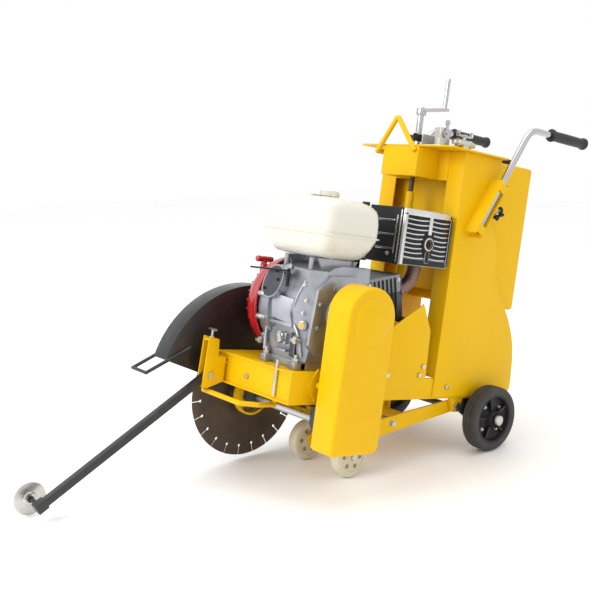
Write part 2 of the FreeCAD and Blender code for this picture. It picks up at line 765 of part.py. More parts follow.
def swing_arm():
    parts = []
    half_tall = 23.0
    for side in (-1, 1):
        low, high = sorted((side * 139.0, side * 147.0))
        bar = plate_x(
            [
                (ARM_PIVOT_Y, arm_height(ARM_PIVOT_Y) + half_tall - 4),
                (-404, arm_height(-404) + half_tall),
                (-410, arm_height(-404) - half_tall + 4),
                (-396, arm_height(-404) - half_tall - 4),
                (ARM_PIVOT_Y, arm_height(ARM_PIVOT_Y) - half_tall + 4),
            ],
            low,
            high,
        )
        parts.append(bar)
        parts.append(rod_x(low, high, ARM_PIVOT_Y, ARM_PIVOT_Z, half_tall - 4))
    front_z = arm_height(-388)
    parts.append(box(-140, 140, -402, -374, front_z - 15, front_z + 15))
    lift_z = pin_height() - 20
    parts.append(box(-140, 140, SCREW_Y - 13, SCREW_Y + 13, lift_z - 16, lift_z + 5))
    for x in (-24, 18):
        parts.append(box(x, x + 6, SCREW_Y - 15, SCREW_Y + 15, lift_z, pin_height() + 13))
    for x0, x1 in ((83, 92), (-54, -45)):
        outline = [
            (-390, front_z + 14),
            (-374, front_z - 14),
            (FRONT_WHEEL_Y + 14, FRONT_WHEEL_Z - 8),
            (FRONT_WHEEL_Y, FRONT_WHEEL_Z - 16),
            (FRONT_WHEEL_Y - 15, FRONT_WHEEL_Z - 4),
            (FRONT_WHEEL_Y - 15, FRONT_WHEEL_Z + 14),
        ]
        parts.append(plate_x(outline, x0, x1))
    arm = fuse(parts)
    tools = [rod_x(-150, 150, ARM_PIVOT_Y, ARM_PIVOT_Z, 8 + RUNNING_FIT)]
    z = pin_height()
    slot = box(-30, 30, SCREW_Y - 3, SCREW_Y + 3, z - 5.6, z + 5.6)
    tools += [slot, rod_x(-30, 30, SCREW_Y - 3, z, 5.6), rod_x(-30, 30, SCREW_Y + 3, z, 5.6)]
    tools += [rod_x(x - 20, x + 20, FRONT_WHEEL_Y, FRONT_WHEEL_Z, 6.05) for x in (87, -50)]
    tools.append(box(-17, 17, SCREW_Y - 20, SCREW_Y + 20, z - 14, z + 30))
    return cut(arm, tools)


def front_axle_bolts():
    near = fuse(
        [
            rod_x(76, 136, FRONT_WHEEL_Y, FRONT_WHEEL_Z, 6),
            hexagon_x(132, 139, FRONT_WHEEL_Y, FRONT_WHEEL_Z, 18),
            hexagon_x(74, 82.6, FRONT_WHEEL_Y, FRONT_WHEEL_Z, 18),
        ]
    )
    far = fuse(
        [
            rod_x(-98, -38, FRONT_WHEEL_Y, FRONT_WHEEL_Z, 6),
            hexagon_x(-101, -94, FRONT_WHEEL_Y, FRONT_WHEEL_Z, 18),
            hexagon_x(-44.6, -36, FRONT_WHEEL_Y, FRONT_WHEEL_Z, 18),
        ]
    )
    return [near, far]


def front_wheel(x0):
    """Nylon wheel 36 wide with a recess and a bearing boss on both faces."""
    profile = [
        (x0, 6 + RUNNING_FIT),
        (x0 + 36, 6 + RUNNING_FIT),
        (x0 + 36, 17),
        (x0 + 31, 19),
        (x0 + 31, 40),
        (x0 + 35, 43),
        (x0 + 35, 54),
        (x0 + 29, 60),
        (x0 + 7, 60),
        (x0 + 1, 54),
        (x0 + 1, 43),
        (x0 + 5, 40),
        (x0 + 5, 19),
        (x0, 17),
    ]
    return revolve_x(profile, FRONT_WHEEL_Y, FRONT_WHEEL_Z)


def lift_tube():
    z = pin_height()
    tube = ring_z(z + 16, TUBE_TOP, 0, SCREW_Y, TUBE_RADIUS, SCREW_RADIUS + 1.5)
    nut = ring_z(TUBE_TOP - 40, TUBE_TOP, 0, SCREW_Y, TUBE_RADIUS, SCREW_RADIUS + RUNNING_FIT)
    foot = box(-14, 14, SCREW_Y - 10, SCREW_Y + 10, z - 10, z + 18)
    pin = rod_x(-28, 28, SCREW_Y, z, 5)
    return fuse([tube, nut, foot, pin])


def lift_screw():
    rod = rod_z(560, 800, 0, SCREW_Y, SCREW_RADIUS)
    thrust = rod_z(HEADER_LOW + 34 + JOIN_GAP, HEADER_LOW + 44, 0, SCREW_Y, 15)
    post = rod_z(800, CRANK_ARM_Z - 6, 0, SCREW_Y, 10)
    return fuse([rod, thrust, post])


def crank_handle():
    bar = box(-12, CRANK_THROW + 10, SCREW_Y - 9, SCREW_Y + 9, CRANK_ARM_Z - 4, CRANK_ARM_Z + 4)
    boss = ring_z(CRANK_ARM_Z - 14, CRANK_ARM_Z + 5, 0, SCREW_Y, 15, 10 + JOIN_GAP / 2)
    bar = bar.cut(rod_z(CRANK_ARM_Z - 20, CRANK_ARM_Z + 2, 0, SCREW_Y, 10 + JOIN_GAP / 2))
    cap = rod_z(CRANK_ARM_Z + 4, CRANK_ARM_Z + 9, 0, SCREW_Y, 9)
    top = CRANK_ARM_Z + CRANK_GRIP_LONG
    pin = rod_z(CRANK_ARM_Z + 3, top, CRANK_THROW, SCREW_Y, 4)
    head = rod_z(top - 3, top, CRANK_THROW, SCREW_Y, 6.2)
    return fuse([bar, boss, cap, pin, head])


def crank_grip():
    low = CRANK_ARM_Z + 4 + JOIN_GAP
    high = CRANK_ARM_Z + CRANK_GRIP_LONG - 3 - JOIN_GAP
    return ring_z(low, high, CRANK_THROW, SCREW_Y, 6.2, 4 + RUNNING_FIT)


def depth_lock():
    """Winged lock nut on the screw post, above the top plate."""
    boss = ring_z(812, 832, 0, SCREW_Y, 17, 10 + RUNNING_FIT)
    wings = []
    for k in range(3):
        angle = 60 + 120 * k
        wing = box(14, 34, -4, 4, 816, 830)
        wing = fuse([wing, rod_z(814, 832, 34, 0, 6)])
        wing.rotate(V(0, 0, 0), V(0, 0, 1), angle)
        wing.translate(V(0, SCREW_Y, 0))
        wings.append(wing)
    whole = fuse([boss] + wings)
    return whole.cut(rod_z(800, 840, 0, SCREW_Y, 10 + RUNNING_FIT))


# ------------------------------------------------------------ pointer arm


def pointer_arm():
    dy = POINTER_TIP_Y - POINTER_PIVOT_Y
    dz = POINTER_TIP_Z - POINTER_PIVOT_Z
    length = math.hypot(dy, dz)
    tube = box(POINTER_X - 10, POINTER_X + 10, -length, 14, -10, 10)
    tube = tube.cut(box(POINTER_X - 8, POINTER_X + 8, -length + 20, 15, -8, 8))
    block = box(POINTER_X - 13, POINTER_X + 13, -length - 14, -length + 16, -13, 13)
    eye = rod_x(POINTER_X - 10, POINTER_X + 10, 0, 0, 12)
    arm = fuse([tube, block, eye])
    arm = arm.cut(rod_x(POINTER_X - 20, POINTER_X + 20, 0, 0, 5.05))
    arm.rotate(V(0, 0, 0), V(1, 0, 0), math.degrees(math.atan2(-dz, -dy)))
    arm.translate(V(0, POINTER_PIVOT_Y, POINTER_PIVOT_Z))
    stub = rod_x(DISC_X - 14, POINTER_X, POINTER_TIP_Y, POINTER_TIP_Z, 6)
    collar = rod_x(DISC_X + 4 + JOIN_GAP, DISC_X + 10, POINTER_TIP_Y, POINTER_TIP_Z, 9)
    end = rod_x(DISC_X - 14, DISC_X - 4 - JOIN_GAP, POINTER_TIP_Y, POINTER_TIP_Z, 9)
    return fuse([arm, stub, collar, end])


def pointer_disc():
    profile = [
        (DISC_X - 4, 6 + RUNNING_FIT),
        (DISC_X - 4, 16),
        (DISC_X - 1.5, 18),
        (DISC_X - 1.5, DISC_RADIUS - 4),
        (DISC_X - 0.6, DISC_RADIUS),
        (DISC_X + 0.6, DISC_RADIUS),
        (DISC_X + 1.5, DISC_RADIUS - 4),
        (DISC_X + 1.5, 18),
        (DISC_X + 4, 16),
        (DISC_X + 4, 6 + RUNNING_FIT),
    ]
    return revolve_x(profile, POINTER_TIP_Y, POINTER_TIP_Z)


def pointer_bolt():
    y, z = POINTER_PIVOT_Y, POINTER_PIVOT_Z
    shank = rod_x(POINTER_X - 22, POINTER_X + 16, y, z, 5)
    head = hexagon_x(POINTER_X + 15.1, POINTER_X + 22, y, z, 17)
    nut = hexagon_x(POINTER_X - 24, POINTER_X - 15.1, y, z, 17)
    return fuse([shank, head, nut])


def pointer_lock():
    """Small T-screw on top of the pointer bracket."""
    x, y = POINTER_X, TRAY_FRONT - 46
    shank = rod_z(148, 196, x, y, 4)
    bar = rod_x(x - 17, x + 17, y, 197, 3.5)
    collar = rod_z(171.2, 178, x, y, 8)
    return fuse([shank, bar, collar])


# ------------------------------------------------------------- handlebars


def handlebar(side):
    """Straight leg up the socket, one tangent bend, level hand section."""
    slope = math.radians(HANDLE_SLOPE_DEG)
    bend = 62.0
    radius = 10.0
    corner_y = HANDLE_FOOT_Y + (HANDLE_TOP_Z - HANDLE_FOOT_Z) / math.tan(slope)
    reach = bend * math.tan(slope / 2)
    foot = V(HANDLE_X, HANDLE_FOOT_Y, HANDLE_FOOT_Z)
    start = V(HANDLE_X, corner_y - reach * math.cos(slope), HANDLE_TOP_Z - reach * math.sin(slope))
    end = V(HANDLE_X, corner_y + reach, HANDLE_TOP_Z)
    centre = V(HANDLE_X, corner_y + reach, HANDLE_TOP_Z - bend)
    mid_angle = math.pi / 2 + slope / 2
    middle = centre.add(V(0, bend * math.cos(mid_angle), bend * math.sin(mid_angle)))
    tip = V(HANDLE_X, 322, HANDLE_TOP_Z)
    path = Part.Wire([Part.makeLine(foot, start), Part.Arc(start, middle, end).toShape(), Part.makeLine(end, tip)])
    section = Part.Wire(Part.makeCircle(radius, foot, start.sub(foot)))
    bar = path.makePipeShell([section], True, True)
    bar = bar if side > 0 else mirror_x(bar)
    return bar


def handle_grip(side):
    grip = rod_y(148, 328, HANDLE_X, HANDLE_TOP_Z, 15)
    flange = rod_y(148, 153, HANDLE_X, HANDLE_TOP_Z, 20)
    rings = [rod_y(y, y + 4, HANDLE_X, HANDLE_TOP_Z, 16) for y in range(170, 320, 14)]
    whole = fuse([grip, flange] + rings)
    whole = whole.cut(rod_y(140, 322.1, HANDLE_X, HANDLE_TOP_Z, 10.02))
    return whole if side > 0 else mirror_x(whole)


def clamp_knob(side):
    """Lobed knob and stud that pinch the handlebar in its socket."""
    stud = rod_y(10.6, 50, HANDLE_X, 107, 5)
    hub = rod_y(30, 52, HANDLE_X, 107, 14)
    lobes = []
    for k in range(5):
        angle = math.radians(72 * k)
        lobes.append(rod_y(34, 50, HANDLE_X + 15 * math.cos(angle), 107 + 15 * math.sin(angle), 8.5))
    knob = lean_with_handle(fuse([stud, hub] + lobes))
    return knob if side > 0 else mirror_x(knob)


# --------------------------------------------------------------- controls


def control_bracket():
    """Two upright bright plates on a common foot, beside the crank."""
    z = CONSOLE_TOP + 5 + JOIN_GAP
    foot = box(44, 122, -264, -206, z, z + 4)
    square = box(47, 97, -212, -208, z, 858)
    edge = box(47, 51, -264, -208, z, 830)
    cheek = box(101, 105, -250, -206, z, 852)
    bracket = fuse([foot, square, edge, cheek])
    holes = [rod_z(z - 5, z + 10, x, y, 3.2) for x, y in CONTROL_BOLTS]
    holes.append(rod_x(90, 115, -228, 836, 4.05))
    return cut(bracket, holes)


def throttle_lever():
    pin = rod_x(95, 115, -228, 836, 4)
    disc = rod_x(105.4, 111, -228, 836, 12)
    lever = fuse([box(106, 110, -233, -223, 836, 868), rod_x(105.4, 111, -228, 868, 8)])
    return fuse([pin, disc, lever])


def water_valve():
    """Small stop valve on the top plate, with pipe ends fore and aft."""
    z = CONSOLE_TOP + 5 + JOIN_GAP
    body = rod_y(-190, -130, 120, z + 22, 12)
    pipe = rod_y(-206, -114, 120, z + 22, 8)
    foot = box(108, 132, -172, -148, z, z + 16)
    stem = rod_z(z + 30, z + 42, 120, -160, 5)
    return fuse([body, pipe, foot, stem])


def water_valve_lever():
    z = CONSOLE_TOP + 5 + JOIN_GAP + 42 + JOIN_GAP
    hub = rod_z(z, z + 6, 120, -160, 8)
    wings = [box(114, 126, -188, -132, z, z + 4)]
    tabs = [box(114, 126, y, y + 4, z, z + 16) for y in (-192, -132)]
    return fuse([hub] + wings + tabs)


# ----------------------------------------------------------------- engine

ENGINE_FRONT = -703.0
ROPE_RADIUS = 2.0
FAN_RIM_X = -32.0
PTO_X = 163.0
TANK_LOW = 436.0
TANK_SEAM = 503.0
TANK_TOP = 604.0
TANK_X = 15.0
TANK_Y = -594.0
CAP_X = 24.0


def crankcase():
    base = box(-30, 140, ENGINE_FRONT + 2, -462, TRAY_TOP + JOIN_GAP, 158)
    body_outline = [
        (ENGINE_FRONT + 6, 150),
        (ENGINE_FRONT, 215),
        (ENGINE_FRONT + 4, 330),
        (-676, 402),
        (-560, 420),
        (-490, 385),
        (-490, 150),
    ]
    body = plate_x(body_outline, -24, 138)
    barrel = rod_x(FAN_RIM_X - 6, 10, CRANK_Y, CRANK_Z, 127)
    barrel = barrel.cut(box(-50, 20, -490, -400, 100, 500))
    face_boss = rod_y(ENGINE_FRONT - 9, ENGINE_FRONT + 30, 24, 336, 50)
    legs = [box(x - 12, x + 12, ENGINE_FRONT - 18, ENGINE_FRONT + 20, TRAY_TOP + JOIN_GAP, 158) for x in (0, 126)]
    case = fuse([base, body, barrel, face_boss] + legs + tank_stays())
    bore = rod_x(-100, 200, CRANK_Y, CRANK_Z, 13 + 3)
    chamber = rod_x(0, 130, CRANK_Y, CRANK_Z, 82)
    holes = [rod_z(130, 175, x, y, 5.3) for x, y in ENGINE_BOLTS]
    return cut(case, [bore, chamber] + holes)


def crankcase_cover():
    """Output-side cover with a round bearing boss and eight cover bolts."""
    outline = [
        (-694, 205),
        (-682, 352),
        (-640, 392),
        (-552, 396),
        (-500, 352),
        (-492, 205),
        (-530, 172),
        (-660, 172),
    ]
    plate = plate_x(outline, 138 + JOIN_GAP, 152)
    boss = rod_x(150, PTO_X, CRANK_Y, CRANK_Z, 46)
    bolts = []
    for k in range(8):
        angle = math.radians(22.5 + 45 * k)
        y = -594 + 82 * math.cos(angle)
        z = 284 + 82 * math.sin(angle)
        bolts.append(hexagon_x(151, 158, y, z, 12))
    cover = fuse([plate, boss] + bolts)
    return cover.cut(rod_x(130, 180, CRANK_Y, CRANK_Z, 12.7 + RUNNING_FIT))


def cylinder():
    """Finned barrel and head, leaning up to the rear."""
    parts = [rod_y(-491, -352, 58, 0, 52)]
    for k in range(9):
        y = -472 + 14 * k
        parts.append(box(-14, 130, y, y + 4.5, -64, 66))
    head = box(-10, 126, -352, -336, -60, 62)
    parts.append(head)
    barrel = fuse(parts)
    barrel = barrel.cut(rod_y(-480, -360, 58, 0, 44))
    return behind_crankcase(tilt_with_cylinder(barrel))


def behind_crankcase(shape):
    """Trim away whatever would reach into the crankcase's rear face."""
    return shape.cut(box(-60, 200, -620, -490 + JOIN_GAP, 100, 600))


def tilt_with_cylinder(shape):
    placed = shape.copy()
    placed.rotate(V(0, -490, 0), V(1, 0, 0), 12)
    placed.translate(V(0, 0, 318))
    return placed


def valve_cover():
    lid = box(0, 88, -336 + JOIN_GAP, -300, -50, 52)
    lid = round_edges(lid, 9, lambda e: e.CenterOfMass.y > -301)
    return tilt_with_cylinder(lid)


def cylinder_shroud():
    """Pressed air shroud over the top of the fins."""
    sheet = 2.0
    top = box(-20, 136, -484, -352, 68, 68 + sheet)
    sides = [box(x, x + sheet, -484, -352, 20, 70) for x in (-20, 134)]
    return behind_crankcase(tilt_with_cylinder(fuse([top] + sides)))


def spark_plug():
    plug = rod_y(-336, -322, 90, -56, 6)
    boot = Part.makeCylinder(11, 46, V(90, -334, -62), V(0.2, 0.75, -0.5))
    plug = fuse([plug, boot])
    placed = tilt_with_cylinder(plug)
    return placed


def fan_cover():
    """Red fan shroud: short skirt at the rim, domed towards the starter."""
    profile = [
        (FAN_RIM_X - 7, 137),
        (FAN_RIM_X - 40, 134),
        (FAN_RIM_X - 72, 118),
        (FAN_RIM_X - 84, 100),
        (FAN_RIM_X - 84, 0),
        (FAN_RIM_X - 81, 0),
        (FAN_RIM_X - 81, 98),
        (FAN_RIM_X - 70, 115),
        (FAN_RIM_X - 39, 131),
        (FAN_RIM_X - 7, 134),
    ]
    return revolve_x(profile, CRANK_Y, CRANK_Z)


def recoil_starter():
    x = FAN_RIM_X - 84 - JOIN_GAP
    profile = [(x, 0), (x, 92), (x - 26, 86), (x - 34, 66), (x - 34, 0)]
    body = revolve_x(profile, CRANK_Y, CRANK_Z)
    slots = []
    for k in range(12):
        slot = box(x - 40, x - 30, CRANK_Y - 4, CRANK_Y + 4, CRANK_Z + 30, CRANK_Z + 58)
        slots.append(spin_x(slot, 30 * k, CRANK_Y, CRANK_Z))
    guide = rod_z(CRANK_Z + 60, CRANK_Z + 104, x - 16, CRANK_Y - 52, 10)
    rope_bore = rod_z(CRANK_Z + 58, CRANK_Z + 110, x - 16, CRANK_Y - 52, ROPE_RADIUS + 0.4)
    return fuse([cut(body, slots), guide]).cut(rope_bore)


def recoil_grip():
    x = FAN_RIM_X - 84 - JOIN_GAP - 16
    bar = rod_y(CRANK_Y - 82, CRANK_Y - 22, x, CRANK_Z + 116, 9)
    neck = Part.makeCone(9, 12, 12, V(x, CRANK_Y - 52, CRANK_Z + 104 + JOIN_GAP))
    # the straight length of rope that stands in the guide at rest
    rope = rod_z(CRANK_Z + 60, CRANK_Z + 108, x, CRANK_Y - 52, ROPE_RADIUS)
    return fuse([bar, neck, rope])


def tank_section(half_x, half_y, z, corner):
    """Rounded rectangle centred on the fuel tank."""
    flat = box(TANK_X - half_x, TANK_X + half_x, TANK_Y - half_y, TANK_Y + half_y, z, z + 1)
    flat = round_edges(flat, corner, lambda e: along(e, 2))
    low = [f for f in flat.Faces if abs(f.CenterOfMass.z - z) < 1e-6][0]
    return low.OuterWire


def fuel_tank():
    """Two pressed shells with a seam flange; the top slopes in, the base is smaller."""
    upper_sections = [
        tank_section(146, 105, TANK_SEAM, 34),
        tank_section(144, 103, 566, 40),
        tank_section(122, 84, 596, 50),
        tank_section(84, 50, TANK_TOP, 42),
    ]
    lower_sections = [
        tank_section(146, 105, TANK_SEAM, 34),
        tank_section(142, 101, 470, 36),
        tank_section(120, 78, TANK_LOW, 40),
    ]
    hollow_sections = [
        tank_section(136, 96, TANK_LOW + 30, 34),
        tank_section(138, 98, 560, 38),
        tank_section(92, 60, 594, 42),
    ]
    upper = Part.makeLoft(upper_sections, True, True)
    lower = Part.makeLoft(lower_sections, True, True)
    hollow = Part.makeLoft(hollow_sections, True, True)
    seam_x, seam_y = 151.0, 110.0
    seam = box(TANK_X - seam_x, TANK_X + seam_x, TANK_Y - seam_y, TANK_Y + seam_y, TANK_SEAM - 1.6, TANK_SEAM + 1.6)
    seam = round_edges(seam, 38, lambda e: along(e, 2))
    neck = rod_z(TANK_TOP - 6, TANK_TOP + 6, CAP_X, TANK_Y, 28)
    mouth = rod_z(580, TANK_TOP + 10, CAP_X, TANK_Y, 24)
    return cut(fuse([upper, lower, seam, neck]), [hollow, mouth])


def fuel_cap():
    low = TANK_TOP + JOIN_GAP
    skirt = ring_z(low, TANK_TOP + 14, CAP_X, TANK_Y, 40, 28 + JOIN_GAP)
    lid = rod_z(TANK_TOP + 6 + JOIN_GAP, TANK_TOP + 15, CAP_X, TANK_Y, 38)
    lugs = []
    for k in range(6):
        angle = math.radians(60 * k)
        x = CAP_X + 39 * math.cos(angle)
        y = TANK_Y + 39 * math.sin(angle)
        lugs.append(rod_z(low, TANK_TOP + 13, x, y, 4))
    return fuse([skirt, lid] + lugs)


def tank_stays():
    """Two pressed stays that carry the fuel tank over the crankcase."""
    stays = []
    for x in (-20, 104):
        top = TANK_LOW - JOIN_GAP
        stays.append(plate_x([(-640, 400), (-540, 400), (-516, top), (-664, top)], x, x + 8))
    return stays


def carburettor():
    body = box(-68, -28, -452, -376, 402, 437.5)
    bowl = rod_z(382, 403, -48, -424, 18)
    intake = rod_x(-30, -20.6, -414, 420, 13)
    return fuse([body, bowl, intake])


def air_cleaner():
    case = box(-142, 0, -404, -268, 452, 596)
    case = round_edges(case, 14, lambda e: along(e, 2) or e.CenterOfMass.z > 595)
    case = case.cut(box(-136, -6, -398, -274, 458, 588))
    nut = fuse([rod_z(594, 606, -72, -340, 6), box(-86, -58, -343, -337, 600, 612)])
    duct = box(-60, -20, -404, -360, 438, 454)
    return fuse([case, nut, duct])


MUFFLER_BACK = -206.0


def muffler():
    can = box(32, 146, -392, MUFFLER_BACK - 14, 452, 590)
    can = round_edges(can, 20, lambda e: along(e, 0))
    pipe = rod_x(140, 160, -297, 508, 15)
    whole = fuse([can, pipe, exhaust_elbow()])
    hollow = box(36, 142, -388, MUFFLER_BACK - 18, 456, 586)
    return cut(whole, [hollow, rod_x(120, 170, -297, 508, 12)])


def muffler_guard():
    """Sheet box round the muffler; louvres on the outer face, ribs on the front."""
    x0, x1 = 20.0, 163.0
    y0, y1 = -408.0, MUFFLER_BACK
    z0, z1 = 443.0, 603.0
    sheet = 2.0
    shell = box(x0, x1, y0, y1, z0, z1)
    shell = round_edges(shell, 12, lambda e: along(e, 0) and e.CenterOfMass.y > y1 - 1)
    shell = shell.cut(box(x0 - 1, x1 - sheet, y0 + sheet, y1 - sheet, z0 + sheet, z1 - sheet))
    tools = [box(x0 - 5, x1 - 24, y0 + 20, y1 - 20, z0 - 5, z0 + 5)]
    for row in range(9):
        z = z0 + 18 + 15.2 * row
        for y in (y0 + 16, y0 + 132):
            tools.append(box(x1 - 5, x1 + 5, y, y + 66, z, z + 7))
    tools.append(rod_x(x1 - 10, x1 + 5, -297, 508, 17))
    shell = cut(shell, tools)
    ribs = [box(62, 148, y0 - 4, y0, z, z + 5) for z in (482, 522, 562)]
    return fuse([shell] + ribs)


def exhaust_elbow():
    """Header pipe from the head up to the muffler's underside."""
    points = [(108, -342.5, 368), (108, -283, 380), (108, -283, 453)]
    return rod_path(points, 14).cut(tilt_with_cylinder(box(-20, 140, -380, -336 + JOIN_GAP, -80, 80)))


def oil_plugs():
    plugs = []
    for x, z, wide in ((152, 214, 10), (4, 190, 9)):
        body = rod_y(ENGINE_FRONT - 16, ENGINE_FRONT - JOIN_GAP, x - 30, z, wide)
        cap = box(x - 30 - wide, x - 30 + wide, ENGINE_FRONT - 22, ENGINE_FRONT - 12, z - 4, z + 4)
        plugs.append(fuse([body, cap]))
    return plugs


def throttle_linkage():
    """Governor arm and the thin control rod that crosses the engine's front."""
    rod = rod_path([(-98, -724, 384), (60, -720, 392), (60, -714, 392)], 2.5)
    arm = box(56, 64, ENGINE_FRONT - 15, ENGINE_FRONT - 9.4, 350, 398)
    return fuse([rod, arm])


def engine_shaft():
    shaft = rod_x(-60, 268, CRANK_Y, CRANK_Z, 12.7)
    web = rod_x(40, 96, CRANK_Y, CRANK_Z, 60)
    flywheel = rod_x(FAN_RIM_X - 46, FAN_RIM_X - 22, CRANK_Y, CRANK_Z, 104)
    return fuse([shaft, web, flywheel])


# -------------------------------------------------------------- fasteners


def engine_bolts():
    bolts = []
    for x, y in ENGINE_BOLTS:
        shank = rod_z(TRAY_TOP - 14, 166, x, y, 5)
        head = hexagon_z(158.2, 166, x, y, 16)
        nut = hexagon_z(TRAY_TOP - 13, TRAY_TOP - 5.2, x, y, 17)
        bolts.append(fuse([shank, head, nut]))
    return bolts


def tension_bolt():
    """Belt tensioning bolt standing in the front panel's recess."""
    x, y = 98, TRAY_FRONT + 5
    shank = rod_z(66, 158, x, y, 5)
    head = hexagon_z(60, 68, x, y, 8)
    nuts = [hexagon_z(TRAY_TOP + 0.2, TRAY_TOP + 8, x, y, 8.6), hexagon_z(TRAY_TOP + 9, TRAY_TOP + 15, x, y, 8.6)]
    return fuse([shank, head] + nuts)


def frame_bolts():
    """Hexagon bolts of the leg plates, console plates and front panel."""
    bolts = []
    face = HALF_WIDTH - SHEET
    for side in (-1, 1):
        for y, z in LEG_BOLTS:
            top = face if y < CONSOLE_FRONT else HALF_WIDTH + JOIN_GAP
            shank = rod_x(face - 12, top + 1, y, z, 4)
            head = hexagon_x(top + 0.2, top + 6, y, z, 13)
            bolt = fuse([shank, head])
            bolts.append(bolt if side > 0 else mirror_x(bolt))
    for x, z in FRONT_BOLTS:
        shank = rod_y(TRAY_FRONT + 4, TRAY_FRONT + 14.4, x, z, 4)
        head = rod_y(TRAY_FRONT + 3, TRAY_FRONT + 9.8, x, z, 7)
        bolts.append(fuse([shank, head]))
    return bolts


def fastener_set():
    screws = [tension_bolt(), pointer_bolt(), pointer_lock(), belt_cover_bolt()]
    return engine_bolts() + frame_bolts() + oil_plugs() + axle_caps() + pivot_pins() + screws


# ----------------------------------------------------------------- output


def to_world(shape):
    """Tilt the chassis nose-up about the rear axle and lift it onto its wheels."""
    placed = shape.copy()
    placed.rotate(V(0, 0, 0), V(1, 0, 0), -NOSE_UP_DEG)
    placed.translate(V(-ORIGIN_X, -ORIGIN_Y, REAR_WHEEL_RADIUS))
    return placed


NODES = {
    "main_frame": main_frame,
    "engine_tray": engine_tray,
    "pointer_bracket": pointer_bracket,
    "console_left_plate": lambda: console_side(1),
    "console_right_plate": lambda: console_side(-1),
    "console_front_panel": console_front,
    "top_plate": top_plate,
    "screw_housing": screw_housing,
    "water_tank": water_tank,
    "water_tank_cap": water_tank_cap,
    "rear_axle": rear_axle,
    "rear_wheel_left": lambda: [rear_rim(1), rear_tyre(1)],
    "rear_wheel_right": lambda: [rear_rim(-1), rear_tyre(-1)],
    "drive_pulley": lambda: pulley(CRANK_Y, CRANK_Z, DRIVE_RADIUS, 12.7),
    "driven_pulley": lambda: pulley(ARBOR_Y, ARBOR_Z, DRIVEN_RADIUS, 14),
    "v_belts": v_belts,
    "belt_cover": belt_cover,
    "belt_cover_back": belt_cover_back,
    "arbor": arbor,
    "arbor_bearings": arbor_bearings,
    "blade": blade,
    "blade_clamp": lambda: [outer_flange(), arbor_nut()],
    "blade_guard": blade_guard,
    "swing_arm": swing_arm,
    "front_axle_bolts": front_axle_bolts,
    "front_wheel_left": lambda: front_wheel(95),
    "front_wheel_right": lambda: front_wheel(-93),
    "lift_tube": lift_tube,
    "lift_screw": lift_screw,
    "crank_handle": crank_handle,
    "crank_grip": crank_grip,
    "depth_lock": depth_lock,
    "pointer_arm": pointer_arm,
    "pointer_disc": pointer_disc,
    "handlebar_left": lambda: handlebar(1),
    "handlebar_right": lambda: handlebar(-1),
    "handle_grip_left": lambda: handle_grip(1),
    "handle_grip_right": lambda: handle_grip(-1),
    "clamp_knob_left": lambda: clamp_knob(1),
    "clamp_knob_right": lambda: clamp_knob(-1),
    "top_controls": lambda: [control_bracket(), water_valve()],
    "throttle_lever": throttle_lever,
    "water_valve_lever": water_valve_lever,
    "crankcase": crankcase,
    "crankcase_cover": crankcase_cover,
    "cylinder": cylinder,
    "valve_cover": valve_cover,
    "cylinder_shroud": cylinder_shroud,
    "spark_plug": spark_plug,
    "fan_cover": fan_cover,
    "recoil_starter": recoil_starter,
    "recoil_grip": recoil_grip,
    "fuel_tank": fuel_tank,
    "fuel_cap": fuel_cap,
    "carburettor": lambda: [carburettor(), throttle_linkage()],
    "air_cleaner": air_cleaner,
    "muffler": muffler,
    "muffler_guard": muffler_guard,
    "engine_shaft": engine_shaft,
    "fasteners": lambda: fastener_set(),
}


def main():
    os.makedirs("parts", exist_ok=True)
    for name, build in NODES.items():
        made = build()
        solids = made if isinstance(made, list) else [made]
        placed = [to_world(s) for s in solids]
        shape = placed[0] if len(placed) == 1 else Part.makeCompound(placed)
        if not shape.isValid() or len(shape.Solids) != len(placed):
            print("check", name, shape.isValid(), len(shape.Solids), len(placed))
        shape.exportStep("parts/" + name + ".step")


main()
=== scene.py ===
import json
import math

import bmesh
import bpy
from mathutils import Matrix, Vector


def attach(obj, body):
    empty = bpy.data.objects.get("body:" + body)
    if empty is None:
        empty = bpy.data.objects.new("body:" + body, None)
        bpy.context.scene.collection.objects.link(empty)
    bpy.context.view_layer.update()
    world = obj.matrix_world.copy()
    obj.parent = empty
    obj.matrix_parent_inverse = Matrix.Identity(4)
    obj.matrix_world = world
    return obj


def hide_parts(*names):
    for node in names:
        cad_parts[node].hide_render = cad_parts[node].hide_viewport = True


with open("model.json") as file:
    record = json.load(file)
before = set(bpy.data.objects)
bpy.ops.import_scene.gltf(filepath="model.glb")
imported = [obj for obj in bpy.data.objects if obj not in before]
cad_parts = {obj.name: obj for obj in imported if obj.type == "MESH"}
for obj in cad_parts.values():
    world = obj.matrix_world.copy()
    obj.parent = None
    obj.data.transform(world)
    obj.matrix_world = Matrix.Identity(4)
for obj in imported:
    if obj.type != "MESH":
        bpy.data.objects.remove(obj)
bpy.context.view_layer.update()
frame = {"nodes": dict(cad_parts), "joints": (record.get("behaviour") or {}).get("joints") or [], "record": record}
RECORD = frame["record"]
JOINTS = {joint["name"]: joint for joint in frame["joints"]}
BODY_OF = {n: body for body, names in RECORD["behaviour"]["bodies"].items() for n in names}
SLOT_OF = {part["node"]: part["material_slot"] for part in RECORD["subparts"]}

